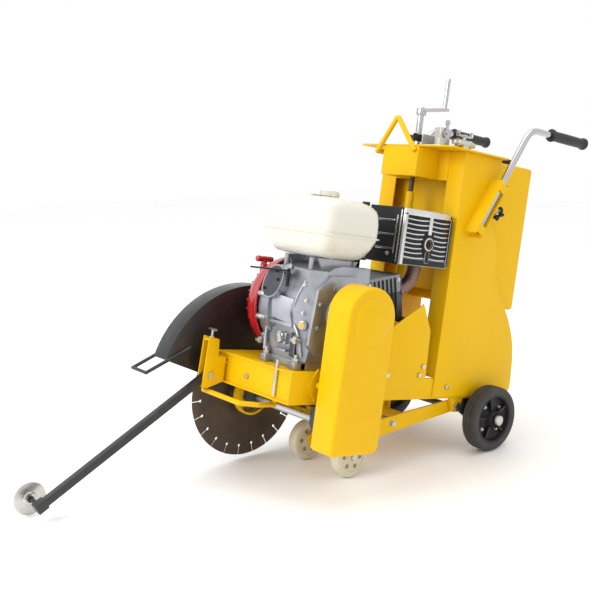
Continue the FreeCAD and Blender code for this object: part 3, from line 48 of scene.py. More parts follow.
# Places on the machine, in the chassis's own axes: millimetres, x across, y back, z up.
ORIGIN_X = 16.0
ARBOR_Y = -604.0
CRANKSHAFT_Y = -600
CRANKSHAFT_Z = 291
FAN_RIM_X = -32.0
STARTER_X = -116.4
ROPE_X = -132.4
ROPE_Y = -652.0
TANK_X = 23
TANK_Y = -594
TANK_CAP_X = 24
CYLINDER_Y = -490
CYLINDER_Z = 318
CYLINDER_TILT_DEG = 12
OUTLET_Y = -297
OUTLET_Z = 508
REAR_WHEEL_Y = 24.657
REAR_WHEEL_Z = 4.126
FRONT_WHEEL_Y = -452.0
FRONT_WHEEL_Z = -116.2
FRONT_WHEEL_LEFT_X = 95
FRONT_WHEEL_RIGHT_X = -93
SCREW_Y = -232
HANDLE_X = 199
HANDLE_TOP_Z = 893
SOCKET_Y = -146
SOCKET_Z = 553
SOCKET_SLOPE_DEG = 60.7
KNOB_ALONG_SOCKET = 107

# Rounding of the CAD shapes' hard edges, in millimetres and degrees; faces within FLAT_DEG are merged first.
EDGE_WIDTH = 0.8
COVER_EDGE_WIDTH = 2.2
SHARP_EDGE_DEG = 32.0
FLAT_DEG = 0.4

X_AXIS = (1, 0, 0)
Y_AXIS = (0, 1, 0)
Z_AXIS = (0, 0, 1)

# The chassis is tilted nose-up: its up axis is the crank's, and its place comes from the blade's axis.
ACROSS = Vector(X_AXIS)
UP = Vector(JOINTS["crank_turn"]["axis"]).normalized()
BACK = UP.cross(ACROSS).normalized()
ARBOR = Vector(JOINTS["blade_spin"]["pos_m"])
CHASSIS = Matrix((ACROSS, BACK, UP)).transposed().to_4x4()
CHASSIS.translation = Vector((-ORIGIN_X / 1000, ARBOR.y, ARBOR.z)) - BACK * (ARBOR_Y / 1000)
PLACE = CHASSIS @ Matrix.Scale(0.001, 4)

REBUILT = set()


# ------------------------------------------------------------ materials


class Nodes:
    """Small helper that wires one material's node tree."""

    def __init__(self, name):
        self.material = bpy.data.materials.new(name)
        self.material.use_nodes = True
        self.tree = self.material.node_tree
        self.shader = self.tree.nodes["Principled BSDF"]
        self.coords = self.tree.nodes.new("ShaderNodeTexCoord").outputs["Object"]

    def link(self, source, target):
        self.tree.links.new(source, target)

    def noise(self, scale, detail=5.0, stretch=None):
        """Noise from 0 to 1; stretch squeezes it along the object's axes."""
        source = self.coords
        if stretch:
            mapping = self.tree.nodes.new("ShaderNodeMapping")
            mapping.inputs["Scale"].default_value = stretch
            self.link(source, mapping.inputs["Vector"])
            source = mapping.outputs["Vector"]
        node = self.tree.nodes.new("ShaderNodeTexNoise")
        node.inputs["Scale"].default_value = scale
        node.inputs["Detail"].default_value = detail
        node.inputs["Roughness"].default_value = 0.6
        self.link(source, node.inputs["Vector"])
        return node.outputs["Fac"]

    def remap(self, source, low, high, out_low=0.0, out_high=1.0):
        node = self.tree.nodes.new("ShaderNodeMapRange")
        limits = {"From Min": low, "From Max": high, "To Min": out_low, "To Max": out_high}
        for key, value in limits.items():
            node.inputs[key].default_value = value
        self.link(source, node.inputs["Value"])
        return node.outputs["Result"]

    def multiply(self, first, second):
        node = self.tree.nodes.new("ShaderNodeMath")
        node.operation = "MULTIPLY"
        self.link(first, node.inputs[0])
        self.link(second, node.inputs[1])
        return node.outputs["Value"]

    def blend(self, factor, first, second):
        """Mix two colours; each is a node output or an RGB tuple."""
        node = self.tree.nodes.new("ShaderNodeMix")
        node.data_type = "RGBA"
        self.link(factor, node.inputs["Factor"])
        for key, colour in ((6, first), (7, second)):
            if isinstance(colour, tuple):
                node.inputs[key].default_value = (*colour, 1)
            else:
                self.link(colour, node.inputs[key])
        return node.outputs[2]

    def bump(self, height, strength, distance):
        node = self.tree.nodes.new("ShaderNodeBump")
        node.inputs["Strength"].default_value = strength
        node.inputs["Distance"].default_value = distance
        self.link(height, node.inputs["Height"])
        return node.outputs["Normal"]

    def edges(self, radius):
        """1 near edges, 0 on flat faces."""
        bevel = self.tree.nodes.new("ShaderNodeBevel")
        bevel.samples = 4
        bevel.inputs["Radius"].default_value = radius
        geometry = self.tree.nodes.new("ShaderNodeNewGeometry")
        dot = self.tree.nodes.new("ShaderNodeVectorMath")
        dot.operation = "DOT_PRODUCT"
        self.link(bevel.outputs["Normal"], dot.inputs[0])
        self.link(geometry.outputs["Normal"], dot.inputs[1])
        return self.remap(dot.outputs["Value"], 0.985, 0.90)

    def set(self, **values):
        for key, value in values.items():
            self.shader.inputs[key.replace("_", " ")].default_value = value


CHIP_BROWN = (0.16, 0.13, 0.10)
DUST_ON_RUBBER = (0.16, 0.14, 0.12)
OIL_STAIN = (0.2, 0.1, 0.05)


def shade(colour, amount):
    return tuple(min(1.0, c * amount) for c in colour)


def coated(
    name, colour, rough=0.35, coat=0.0, peel=0.05, dust=0.1, chips=0.0, tone=0.1, metallic=0.0, glint=0.5
):
    """Paint or moulded plastic: cloudy tone, dust, orange-peel and optional chipped edges."""
    n = Nodes(name)
    clouds = n.noise(5.0)
    base = n.blend(n.remap(clouds, 0.3, 0.7), shade(colour, 1 - tone), shade(colour, 1 + tone / 2))
    dusty = n.remap(n.noise(14.0, 8.0), 0.52, 0.78, 0.0, dust)
    base = n.blend(dusty, base, tuple(0.5 * c + 0.16 for c in colour))
    fine = n.noise(160.0, 3.0)
    if chips:
        worn = n.multiply(n.edges(0.0016), n.remap(n.noise(70.0, 6.0), 0.50, 0.62, 0.0, chips))
        base = n.blend(worn, base, CHIP_BROWN)
    n.link(base, n.shader.inputs["Base Color"])
    smudges = n.noise(30.0, 6.0)
    n.link(n.remap(smudges, 0.3, 0.7, rough * 0.8, rough * 1.25), n.shader.inputs["Roughness"])
    n.link(n.bump(fine, peel, 0.0006), n.shader.inputs["Normal"])
    n.set(Metallic=metallic, Coat_Weight=coat, Coat_Roughness=0.12, Specular_IOR_Level=glint)
    return n.material


def metal(
    name, colour, rough=0.3, stretch=(1, 1, 1), grain=0.06, tone=0.12, stain=0.0, stain_colour=OIL_STAIN
):
    """Bare or plated metal with brushed grain, smudges and optional staining."""
    n = Nodes(name)
    base = n.blend(n.remap(n.noise(9.0), 0.3, 0.7), shade(colour, 1 - tone), shade(colour, 1 + tone))
    if stain:
        patches = n.remap(n.noise(16.0, 8.0), 0.5, 0.72, 0.0, stain)
        base = n.blend(patches, base, stain_colour)
    n.link(base, n.shader.inputs["Base Color"])
    brushed = n.noise(180.0, 4.0, stretch)
    n.link(n.remap(brushed, 0.3, 0.7, rough * 0.75, rough * 1.35), n.shader.inputs["Roughness"])
    n.link(n.bump(brushed, grain, 0.0004), n.shader.inputs["Normal"])
    n.set(Metallic=1.0)
    return n.material


def cast(name, colour, rough, metallic):
    """Sand-cast or die-cast metal with a pebbled skin and oily darker patches."""
    n = Nodes(name)
    clouds = n.noise(12.0, 6.0)
    base = n.blend(n.remap(clouds, 0.35, 0.65), shade(colour, 0.78), shade(colour, 1.12))
    oily = n.remap(n.noise(4.0, 8.0), 0.52, 0.75, 0.0, 0.5)
    base = n.blend(oily, base, shade(colour, 0.45))
    n.link(base, n.shader.inputs["Base Color"])
    pebble = n.noise(420.0, 4.0)
    n.link(n.remap(pebble, 0.3, 0.7, rough * 0.8, rough * 1.2), n.shader.inputs["Roughness"])
    n.link(n.bump(pebble, 0.3, 0.0007), n.shader.inputs["Normal"])
    n.set(Metallic=metallic)
    return n.material


def rubber(name, colour, rough, dust=0.25):
    """Rubber with a fine grain and pale dust."""
    n = Nodes(name)
    base = n.blend(n.remap(n.noise(20.0, 6.0), 0.45, 0.75, 0.0, dust), colour, DUST_ON_RUBBER)
    n.link(base, n.shader.inputs["Base Color"])
    grain = n.noise(300.0, 3.0)
    roughness = n.remap(grain, 0.3, 0.7, rough * 0.85, min(1.0, rough * 1.2))
    n.link(roughness, n.shader.inputs["Roughness"])
    n.link(n.bump(grain, 0.25, 0.0008), n.shader.inputs["Normal"])
    return n.material


YELLOW = (0.80, 0.47, 0.001)
LOOKS = {
    "yellow_paint": coated(
        "paint_yellow", YELLOW, rough=0.42, coat=0.04, peel=0.10, dust=0.02, chips=0.5, tone=0.05, glint=0.16
    ),
    "black_paint": coated(
        "paint_black", (0.012, 0.012, 0.013), rough=0.36, coat=0.25, peel=0.12, dust=0.12, chips=0.4
    ),
    "grey_paint": coated("paint_grey", (0.24, 0.245, 0.26), rough=0.42, dust=0.2, chips=0.5, metallic=0.3),
    "red_paint": coated(
        "paint_red", (0.42, 0.006, 0.010), rough=0.28, coat=0.5, peel=0.08, dust=0.06, chips=0.3
    ),
    "cream_paint": coated(
        "paint_cream", (0.72, 0.70, 0.61), rough=0.25, coat=0.5, peel=0.05, dust=0.03, tone=0.03
    ),
    "black_plastic": coated(
        "plastic_black", (0.012, 0.012, 0.014), rough=0.45, peel=0.30, dust=0.05, glint=0.3
    ),
    "white_nylon": coated(
        "nylon_cream", (0.66, 0.60, 0.44), rough=0.42, peel=0.25, dust=0.35, tone=0.18
    ),
    "wheel_rubber": rubber("tyre_rubber", (0.040, 0.037, 0.034), rough=0.72),
    "grip_rubber": rubber("grip_rubber", (0.010, 0.010, 0.010), rough=0.5, dust=0.08),
    "belt_rubber": rubber("belt_rubber", (0.015, 0.015, 0.015), rough=0.8),
    "bright_steel": metal("steel_bright", (0.58, 0.58, 0.59), rough=0.26, stretch=(8, 1, 1)),
    "blade_steel": metal(
        "steel_blade", (0.115, 0.092, 0.075), rough=0.44, grain=0.12, tone=0.15, stain=0.15
    ),
    "polished_steel": metal("chrome_plate", (0.50, 0.50, 0.52), rough=0.10, grain=0.02, tone=0.04),
    "exhaust_steel": metal(
        "steel_exhaust", (0.26, 0.17, 0.14), rough=0.5, stain=0.7, stain_colour=(0.10, 0.05, 0.035)
    ),
    "cast_alloy": cast("alloy_cast", (0.42, 0.435, 0.47), rough=0.36, metallic=0.85),
    "cast_iron": cast("iron_cast", (0.10, 0.10, 0.105), rough=0.55, metallic=0.8),
    "zinc_steel": metal(
        "steel_zinc", (0.62, 0.61, 0.57), rough=0.32, stain=0.25, stain_colour=(0.35, 0.28, 0.15)
    ),
}
GUARD_BLACK = coated("guard_black", (0.010, 0.011, 0.014), rough=0.45, peel=0.35, dust=0.04, glint=0.25)
# bright steel of the muffler guard's louvres and lit strips: partly the steel's own colour, partly painted
# highlight
PAINTED_HIGHLIGHT_STEEL = metal("louvre_steel_painted_highlight", (0.62, 0.62, 0.61), rough=0.24, grain=0.05, tone=0.15)
BRASS = metal("brass_plug", (0.62, 0.43, 0.16), rough=0.33, stain=0.3)
# dark alloy: on the crankcase it serves as painted shade
DARK_ALLOY = cast("alloy_dark", (0.085, 0.088, 0.10), rough=0.5, metallic=0.7)
# dark brown for the floors of the front wheels' core holes: painted shade of the recesses, with some dust
CORE_HOLE_SHADE = coated("core_hole_painted_shade", (0.26, 0.21, 0.12), rough=0.5, dust=0.2, tone=0.3)
# CAD nodes whose look is finer than their material slot says
OTHER_LOOK = {"cylinder": DARK_ALLOY, "valve_cover": DARK_ALLOY, "carburettor": GUARD_BLACK}


# ------------------------------------------------------------ pieces from meshes


def finish_piece(name, mesh, node, *looks):
    """Link a mesh as a piece that rides with a CAD node; a face's mark picks one of the looks."""
    for look in looks:
        mesh.materials.append(look)
    piece = bpy.data.objects.new(name, mesh)
    bpy.context.scene.collection.objects.link(piece)
    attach(piece, BODY_OF[node])
    return piece


def smooth(mesh, angle=40.0):
    """Shade smooth, except across edges sharper than the angle."""
    mesh.shade_smooth()
    bm = bmesh.new()
    bm.from_mesh(mesh)
    limit = math.radians(angle)
    for edge in bm.edges:
        edge.smooth = len(edge.link_faces) == 2 and edge.calc_face_angle(0.0) < limit
    bm.to_mesh(mesh)
    bm.free()


def bevel(bm, edges, width, segments, profile):
    bmesh.ops.bevel(
        bm, geom=edges, offset=width, segments=segments, profile=profile, affect="EDGES", clamp_overlap=True
    )


def softened(node, width):
    """Stand-in for a CAD node with its hard edges rounded so that they catch the light."""
    mesh = frame["nodes"][node].data.copy()
    mesh.name = node + "_mesh"
    mesh.materials.clear()
    bm = bmesh.new()
    bm.from_mesh(mesh)
    bmesh.ops.remove_doubles(bm, verts=bm.verts, dist=1e-6)
    flat = math.radians(FLAT_DEG)
    bmesh.ops.dissolve_limit(
        bm, angle_limit=flat, use_dissolve_boundaries=False, verts=bm.verts, edges=bm.edges
    )
    limit = math.radians(SHARP_EDGE_DEG)
    sharp = [e for e in bm.edges if len(e.link_faces) == 2 and e.calc_face_angle(0.0) > limit]
    shortest = width / 1000 * 1.2
    sharp = [e for e in sharp if e.calc_length() > shortest]
    bevel(bm, sharp, width / 1000, 2, 0.6)
    bm.to_mesh(mesh)
    bm.free()
    smooth(mesh)
    piece = finish_piece(node + "_shape", mesh, node, OTHER_LOOK.get(node, LOOKS[SLOT_OF[node]]))
    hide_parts(node)


def from_bmesh(bm, name, angle=38.0):
    """Turn a bmesh drawn in chassis millimetres into a mesh in the row's frame."""
    bmesh.ops.remove_doubles(bm, verts=bm.verts, dist=0.002)
    bmesh.ops.recalc_face_normals(bm, faces=bm.faces)
    mesh = bpy.data.meshes.new(name)
    bm.to_mesh(mesh)
    bm.free()
    mesh.transform(PLACE)
    smooth(mesh, angle)
    return mesh


def rebuilt(node, suffix, bm, *looks, angle=38.0):
    """Detailed piece, drawn in chassis millimetres, that takes a CAD node's place."""
    mesh = from_bmesh(bm, node + "_mesh", angle)
    piece = finish_piece(node + suffix, mesh, node, *looks)
    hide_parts(node)
    REBUILT.add(node)


# ------------------------------------------------------------ stage

FLOOR_HALF = 9.0
FLOOR_DROP = 0.0005
FLOOR_WHITE = (0.975, 0.975, 0.975, 1)
CAMERA_PLACE = (1.960, -1.75027, 0.982)
CAMERA_PITCH_DEG = 79.76
CAMERA_HEADING_DEG = 50.9
CAMERA_LENS = 56.75
# name, place, target, size of the lamp, power
LAMPS = [
    ("key", (-0.6, -3.6, 2.6), (0, 0, 0.5), 2.0, 80),
    ("side", (3.8, 0.6, 3.0), (0, 0, 0.5), 2.2, 3),
    ("top", (-0.4, 0.4, 4.0), (0, 0, 0.2), 3.0, 42),
]


def studio():
    """White surroundings and a plain pale floor."""
    scene = bpy.context.scene
    scene.view_settings.view_transform = "Standard"
    world = bpy.data.worlds.new("studio_world")
    scene.world = world
    world.use_nodes = True
    background = world.node_tree.nodes["Background"]
    background.inputs["Color"].default_value = (1.0, 1.0, 1.0, 1)
    background.inputs["Strength"].default_value = 1.0
    mesh = bpy.data.meshes.new("floor_mesh")
    half = FLOOR_HALF
    corners = [(-half, -half, 0), (half, -half, 0), (half, half, 0), (-half, half, 0)]
    mesh.from_pydata(corners, [], [(0, 1, 2, 3)])
    floor = bpy.data.objects.new("floor", mesh)
    scene.collection.objects.link(floor)
    floor.location.z = -FLOOR_DROP
    n = Nodes("studio_floor")
    n.set(Base_Color=FLOOR_WHITE, Roughness=0.6)
    mesh.materials.append(n.material)


def area_light(name, place, target, size, power):
    light = bpy.data.lights.new(name, "AREA")
    light.size = size
    light.energy = power
    lamp = bpy.data.objects.new(name, light)
    bpy.context.scene.collection.objects.link(lamp)
    lamp.location = place
    lamp.rotation_euler = (Vector(target) - Vector(place)).to_track_quat("-Z", "Y").to_euler()


def camera():
    data = bpy.data.cameras.new("camera")
    data.lens = CAMERA_LENS
    data.sensor_width = 36.0
    data.clip_end = 60.0
    view = bpy.data.objects.new("camera", data)
    bpy.context.scene.collection.objects.link(view)
    view.location = CAMERA_PLACE
    view.rotation_euler = (math.radians(CAMERA_PITCH_DEG), 0.0, math.radians(CAMERA_HEADING_DEG))
    bpy.context.scene.camera = view


# ------------------------------------------------------------ drawing helpers


def turned(centre, turn):
    """Placing matrix: moved to the centre after a turn, in radians, about the x axis."""
    return Matrix.Translation(centre) @ Matrix.Rotation(turn, 4, "X")


def on_cylinder():
    """Placing matrix of the parts that lean with the cylinder."""
    lean = turned((0, CYLINDER_Y, CYLINDER_Z), math.radians(CYLINDER_TILT_DEG))
    return lean @ Matrix.Translation((0, -CYLINDER_Y, 0))


def basis(axis):
    """The axis as a unit vector, and two unit vectors square to it."""
    axis = Vector(axis).normalized()
    side = Vector(Z_AXIS) if abs(axis.z) < 0.9 else Vector(Y_AXIS)
    first = axis.cross(side).normalized()
    return axis, first, axis.cross(first).normalized()


def circle(bm, middle, first, second, radius, steps):
    """Ring of vertices round a middle point."""
    ring = []
    for k in range(steps):
        turn = 2 * math.pi * k / steps
        ring.append(bm.verts.new(middle + (first * math.cos(turn) + second * math.sin(turn)) * radius))
    return ring


def circles(bm, centre, axis, profile, steps):
    """One ring of vertices for each (distance along the axis, radius) pair."""
    axis, first, second = basis(axis)
    centre = Vector(centre)
    return [circle(bm, centre + axis * along, first, second, radius, steps) for along, radius in profile]


def skin(bm, rings, mark=0, closed=False):
    """Faces between neighbouring rings; closed joins the last ring to the first."""
    following = rings[1:] + rings[:1] if closed else rings[1:]
    for low, high in zip(rings, following):
        count = len(low)
        for k in range(count):
            after = (k + 1) % count
            bm.faces.new((low[k], low[after], high[after], high[k])).material_index = mark


def lathe(bm, centre, axis, profile, steps, mark=0):
    """Turned surface, capped at its ends: profile holds (distance along the axis, radius) pairs."""
    rings = circles(bm, centre, axis, profile, steps)
    skin(bm, rings, mark)
    for ring in (rings[0], rings[-1]):
        if (ring[0].co - ring[1].co).length > 1e-4:
            bm.faces.new(ring).material_index = mark


def lathe_ring(bm, centre, axis, profile, steps, mark=0):
    """Turned ring with a hole through it: the profile's last point joins its first."""
    skin(bm, circles(bm, centre, axis, profile, steps), mark, closed=True)


def loft(bm, outlines):
    """Skin between outlines of equal count, closed at both ends."""
    rings = [[bm.verts.new(point) for point in outline] for outline in outlines]
    skin(bm, rings)
    bm.faces.new(rings[0])
    bm.faces.new(rings[-1])


def block(bm, low, high, ease, mark=0, place=None):
    """Box between two corners with eased edges; place is an optional matrix."""
    made = bmesh.ops.create_cube(bm, size=1.0)
    size = [b - a for a, b in zip(low, high)]
    middle = [(a + b) / 2 for a, b in zip(low, high)]
    matrix = Matrix.Translation(middle) @ Matrix.Diagonal((*size, 1))
    if place is not None:
        matrix = place @ matrix
    bmesh.ops.transform(bm, matrix=matrix, verts=made["verts"])
    for face in {f for v in made["verts"] for f in v.link_faces}:
        face.material_index = mark
    # each edge once
    edges = list(dict.fromkeys(e for v in made["verts"] for e in v.link_edges))
    bevel(bm, edges, ease, 2, 0.6)


def rod(bm, points, radius, steps=14):
    """Round bar through the points, widened a little at its corners."""
    points = [Vector(p) for p in points]
    rings = []
    for i, point in enumerate(points):
        before = (point - points[i - 1]).normalized() if i else (points[1] - point).normalized()
        after = (points[i + 1] - point).normalized() if i + 1 < len(points) else before
        heading = (before + after).normalized()
        if not rings:
            _, first, second = basis(heading)
        else:
            first = (first - heading * first.dot(heading)).normalized()
            second = heading.cross(first).normalized()
        stretch = 1.0 / max(0.4, before.dot(heading))
        widened = radius * (1 + (stretch - 1) * 0.5)
        rings.append(circle(bm, point, first, second, widened, steps))
    skin(bm, rings)
    bm.faces.new(rings[0])
    bm.faces.new(rings[-1])


def hex_head(bm, centre, axis, flats, height, mark=0):
    """Bolt head with a chamfered crown on a thin washer, standing up along the axis."""
    corner = flats / math.sqrt(3)
    washer = [(0, 0.5), (0, corner * 1.25), (1.2, corner * 1.25), (1.4, 0.5)]
    lathe(bm, centre, axis, washer, 28, mark)
    foot = 1.3
    top = foot + height
    head = [(foot, 0.5), (foot, corner), (foot + height * 0.82, corner), (top, corner * 0.84), (top, 0.5)]
    lathe(bm, centre, axis, head, 6, mark)


def superellipse(half_x, half_y, power, steps):
    """Outline of a rounded rectangle as (x, y) points."""
    points = []
    for k in range(steps):
        turn = 2 * math.pi * k / steps
        c, s = math.cos(turn), math.sin(turn)
        x = half_x * math.copysign(abs(c) ** (2 / power), c)
        y = half_y * math.copysign(abs(s) ** (2 / power), s)
        points.append((x, y))
    return points


def extrude(bm, low_points, high_points, mark):
    """Closed solid between two matching outlines; gives its vertices and faces, end faces first."""
    low = [bm.verts.new(point) for point in low_points]
    high = [bm.verts.new(point) for point in high_points]
    faces = [bm.faces.new(low), bm.faces.new(list(reversed(high)))]
    count = len(low)
    for k in range(count):
        after = (k + 1) % count
        faces.append(bm.faces.new((low[k], low[after], high[after], high[k])))
    for face in faces:
        face.material_index = mark
    return low + high, faces


def prism_x(bm, outline, x0, x1, ease, mark=0):
    """Extrude an outline of (y, z) points along x, with eased rims."""
    low = [(x0, y, z) for y, z in outline]
    high = [(x1, y, z) for y, z in outline]
    faces = extrude(bm, low, high, mark)[1]
    bevel(bm, [e for f in faces[:2] for e in f.edges], ease, 2, 0.6)


def add_plate(bm, outline, place, thick, ease, mark):
    """Flat plate from an outline in the placing matrix's x-y plane, rising along its z."""
    low = [(x, y, 0) for x, y in outline]
    high = [(x, y, thick) for x, y in outline]
    verts, faces = extrude(bm, low, high, mark)
    bmesh.ops.transform(bm, matrix=place, verts=verts)
    bevel(bm, list(faces[1].edges), ease, 3, 0.5)


# ------------------------------------------------------------ detailed pieces


def fuel_tank():
    """Two pressed shells: slightly crowned top, soft shoulders, seam flange, tucked-in base."""
    # height, half width, half length, squareness
    sections = [
        (436.5, 88, 56, 3.2),
        (438, 104, 70, 3.8),
        (442, 114, 79, 4.4),
        (452, 124, 88, 5.0),
        (472, 136, 97, 5.8),
        (492, 144, 103, 6.4),
        (501, 146.5, 105, 6.6),
        (501.2, 152, 110.5, 6.6),
        (504.8, 152, 110.5, 6.6),
        (505, 146.5, 105, 6.6),
        (540, 147, 105, 6.4),
        (566, 144.5, 103, 6.0),
        (578, 140, 99, 5.8),
        (587, 131, 91, 5.4),
        (593, 119, 80, 5.0),
        (598, 103, 66, 4.6),
        (601, 80, 50, 4.0),
        (603, 40, 32, 3.0),
    ]
    bm = bmesh.new()
    outlines = []
    for z, half_x, half_y, power in sections:
        outline = superellipse(half_x, half_y, power, 120)
        outlines.append([(TANK_X + x, TANK_Y + y, z) for x, y in outline])
    loft(bm, outlines)
    neck = [(0, 30), (6, 30), (9, 28.5), (10, 26), (10, 23)]
    lathe(bm, (TANK_CAP_X, TANK_Y, 598), Z_AXIS, neck, 60)
    rebuilt("fuel_tank", "_shell", bm, LOOKS["cream_paint"], angle=50)


def fan_cover():
    """Domed red shroud with a rolled rim and a ring of cooling slots towards the starter."""
    centre = (FAN_RIM_X, CRANKSHAFT_Y, CRANKSHAFT_Z)
    slots = 28
    ears = 4
    profile = [
        (-7, 137), (-12, 137), (-14, 135.4), (-30, 134.8), (-40, 133.4), (-50, 130), (-60, 124.6),
        (-68, 118.5), (-75, 111.5), (-80, 104), (-83, 96), (-84, 90), (-84, 40), (-80, 38), (-79, 96),
        (-68, 113), (-50, 126), (-30, 131), (-7, 132),
    ]
    bm = bmesh.new()
    lathe_ring(bm, centre, X_AXIS, profile, 120)
    for k in range(slots):
        place = turned(centre, 2 * math.pi * k / slots)
        block(bm, (-76.5, -2.2, 98), (-70.5, 2.2, 117.5), 1.0, 1, place)
    for k in range(ears):
        place = turned(centre, math.radians(52 + 90 * k))
        block(bm, (-18, -9, 128), (-7.5, 9, 136.5), 1.5, 0, place)
    rebuilt("fan_cover", "_shell", bm, LOOKS["red_paint"], LOOKS["black_plastic"])


def recoil_starter():
    """Starter housing: pressed dish with radial windows, fixing lugs and the rope guide."""
    centre = (STARTER_X, CRANKSHAFT_Y, CRANKSHAFT_Z)
    dish = [
        (0, 20), (0, 91.8), (-3, 91.8), (-5, 90), (-20, 87.2), (-26, 85), (-31, 76), (-33.6, 66), (-33.9, 62),
        (-33.9, 30), (-32, 27), (-32, 1),
    ]
    guide = [(0, 10), (42, 10), (44, 8.5), (44, 3), (20, 3)]
    bm = bmesh.new()
    lathe(bm, centre, X_AXIS, dish, 96)
    for k in range(12):
        place = turned(centre, math.radians(30 * k))
        block(bm, (-34.0, -3.6, 32), (-32.2, 3.6, 58), 0.6, 1, place)
    for k in range(3):
        place = turned(centre, math.radians(120 * k + 20))
        block(bm, (-12, -8, 82), (-1, 8, 91.5), 1.6, 0, place)
    lathe(bm, (ROPE_X, ROPE_Y, 351), Z_AXIS, guide, 36)
    rebuilt("recoil_starter", "_shell", bm, LOOKS["red_paint"], LOOKS["black_plastic"])


def recoil_grip():
    """Waved red T-grip, the neck under it and the first of its rope."""
    bar = [
        (0.2, 1), (0.5, 5), (3, 8.2), (8, 8.9), (22, 8.2), (30, 8.9), (38, 8.2), (52, 8.9), (57, 8.2),
        (59.5, 5), (59.8, 1),
    ]
    neck = [(0, 2.5), (0, 8.8), (4, 9.6), (10, 10.5), (11.6, 8)]
    rope = [(0, 0.5), (0, 2), (44, 2), (44, 0.5)]
    bm = bmesh.new()
    lathe(bm, (ROPE_X, ROPE_Y - 30, 407), Y_AXIS, bar, 40)
    lathe(bm, (ROPE_X, ROPE_Y, 395.6), Z_AXIS, neck, 36)
    lathe(bm, (ROPE_X, ROPE_Y, 352), Z_AXIS, rope, 20, 1)
    rebuilt("recoil_grip", "_handle", bm, LOOKS["red_paint"], LOOKS["black_plastic"])


def rear_wheel(side):
    """Rubber tyre with two grooves, bonded on a dished, ribbed rim with a bearing hub."""
    node = "rear_wheel_left" if side > 0 else "rear_wheel_right"
    y, z = REAR_WHEEL_Y, REAR_WHEEL_Z
    tyre = [
        (191, 76), (189, 80), (189, 93), (191, 96.6), (195, 98.8), (200, 99.6), (206, 99.6), (206.6, 98),
        (208.4, 98), (209, 99.6), (219, 99.6), (219.6, 98), (221.4, 98), (222, 99.6), (228, 99.6),
        (233, 98.8), (237, 96.6), (239, 93), (239, 84), (237.6, 80), (237.4, 76),
    ]
    rim = [
        (191, 76), (237, 76), (237, 71), (235.5, 68.5), (224, 66), (219.5, 62), (218.5, 58), (219, 34),
        (222, 29.5), (226, 27), (244, 25.5), (246, 24), (246, 10.1), (190, 10.1), (190, 26), (209, 30),
        (209, 60), (191, 67),
    ]
    bearing = [(0, 24), (3, 22.5), (3, 19), (2.2, 18), (2.2, 11)]
    bm = bmesh.new()
    lathe_ring(bm, (0, y, z), X_AXIS, [(side * a, r) for a, r in tyre], 120)
    lathe_ring(bm, (0, y, z), X_AXIS, [(side * a, r) for a, r in rim], 96, 1)
    inner, outer = sorted((side * 214, side * 231))
    for k in range(5):
        place = turned((0, y, z), math.radians(18 + 72 * k))
        block(bm, (inner, -3.6, 22), (outer, 3.6, 66), 1.6, 1, place)
    lathe(bm, (side * 243, y, z), (side, 0, 0), bearing, 48, 2)
    for k in range(4):
        turn = math.radians(45 + 90 * k)
        centre = (side * 219, y + 48 * math.cos(turn), z + 48 * math.sin(turn))
        hex_head(bm, centre, (side, 0, 0), 8, 4, 2)
    rebuilt(
        node, "_tyre_and_rim", bm, LOOKS["wheel_rubber"], LOOKS["black_plastic"], LOOKS["zinc_steel"]
    )


def front_wheel(node, x0):
    """Moulded nylon wheel: crowned tread, recessed web with core holes floored by dark brown discs as painted
    shade, bearing boss.
    """
    y, z = FRONT_WHEEL_Y, FRONT_WHEEL_Z
    profile = [
        (0, 6.1), (36, 6.1), (36, 16), (35, 17.4), (31.5, 19), (31, 21), (31, 39), (32, 41.5), (35, 43.5),
        (35, 53), (33.5, 56.5), (30, 59), (26, 59.8), (10, 59.8), (6, 59), (2.5, 56.5), (1, 53), (1, 43.5),
        (4, 41.5), (5, 39), (5, 21), (4.5, 19), (1, 17.4), (0, 16),
    ]
    hole = [(0, 6.5), (0.5, 6.2), (0.5, 5.0), (0.1, 4.6), (0.1, 0.5)]
    bearing = [(-0.8, 15), (-0.2, 14.6), (-0.2, 7)]
    holes = 6
    hole_circle = 30
    bm = bmesh.new()
    lathe_ring(bm, (0, y, z), X_AXIS, [(x0 + a, r) for a, r in profile], 96)
    for k in range(holes):
        turn = math.radians(60 * k)
        hole_y, hole_z = y + hole_circle * math.cos(turn), z + hole_circle * math.sin(turn)
        for x, way in ((x0 + 31.05, 1), (x0 + 4.95, -1)):
            # thin dark disc in each core hole: painted shade
            lathe(bm, (x, hole_y, hole_z), (way, 0, 0), hole, 24, 1)
    for x, way in ((x0 + 35.9, 1), (x0 + 0.1, -1)):
        lathe(bm, (x, y, z), (way, 0, 0), bearing, 40, 2)
    rebuilt(node, "_roller", bm, LOOKS["white_nylon"], CORE_HOLE_SHADE, LOOKS["zinc_steel"])


# Which look each of the crankcase's faces has
# CASE_SHADE faces take the dark alloy as painted shade: the face beside the fan rim and the strip by the side
# cover
CASE_SHADE, CASE_BRASS, CASE_ZINC, CASE_BLACK = 1, 2, 3, 4


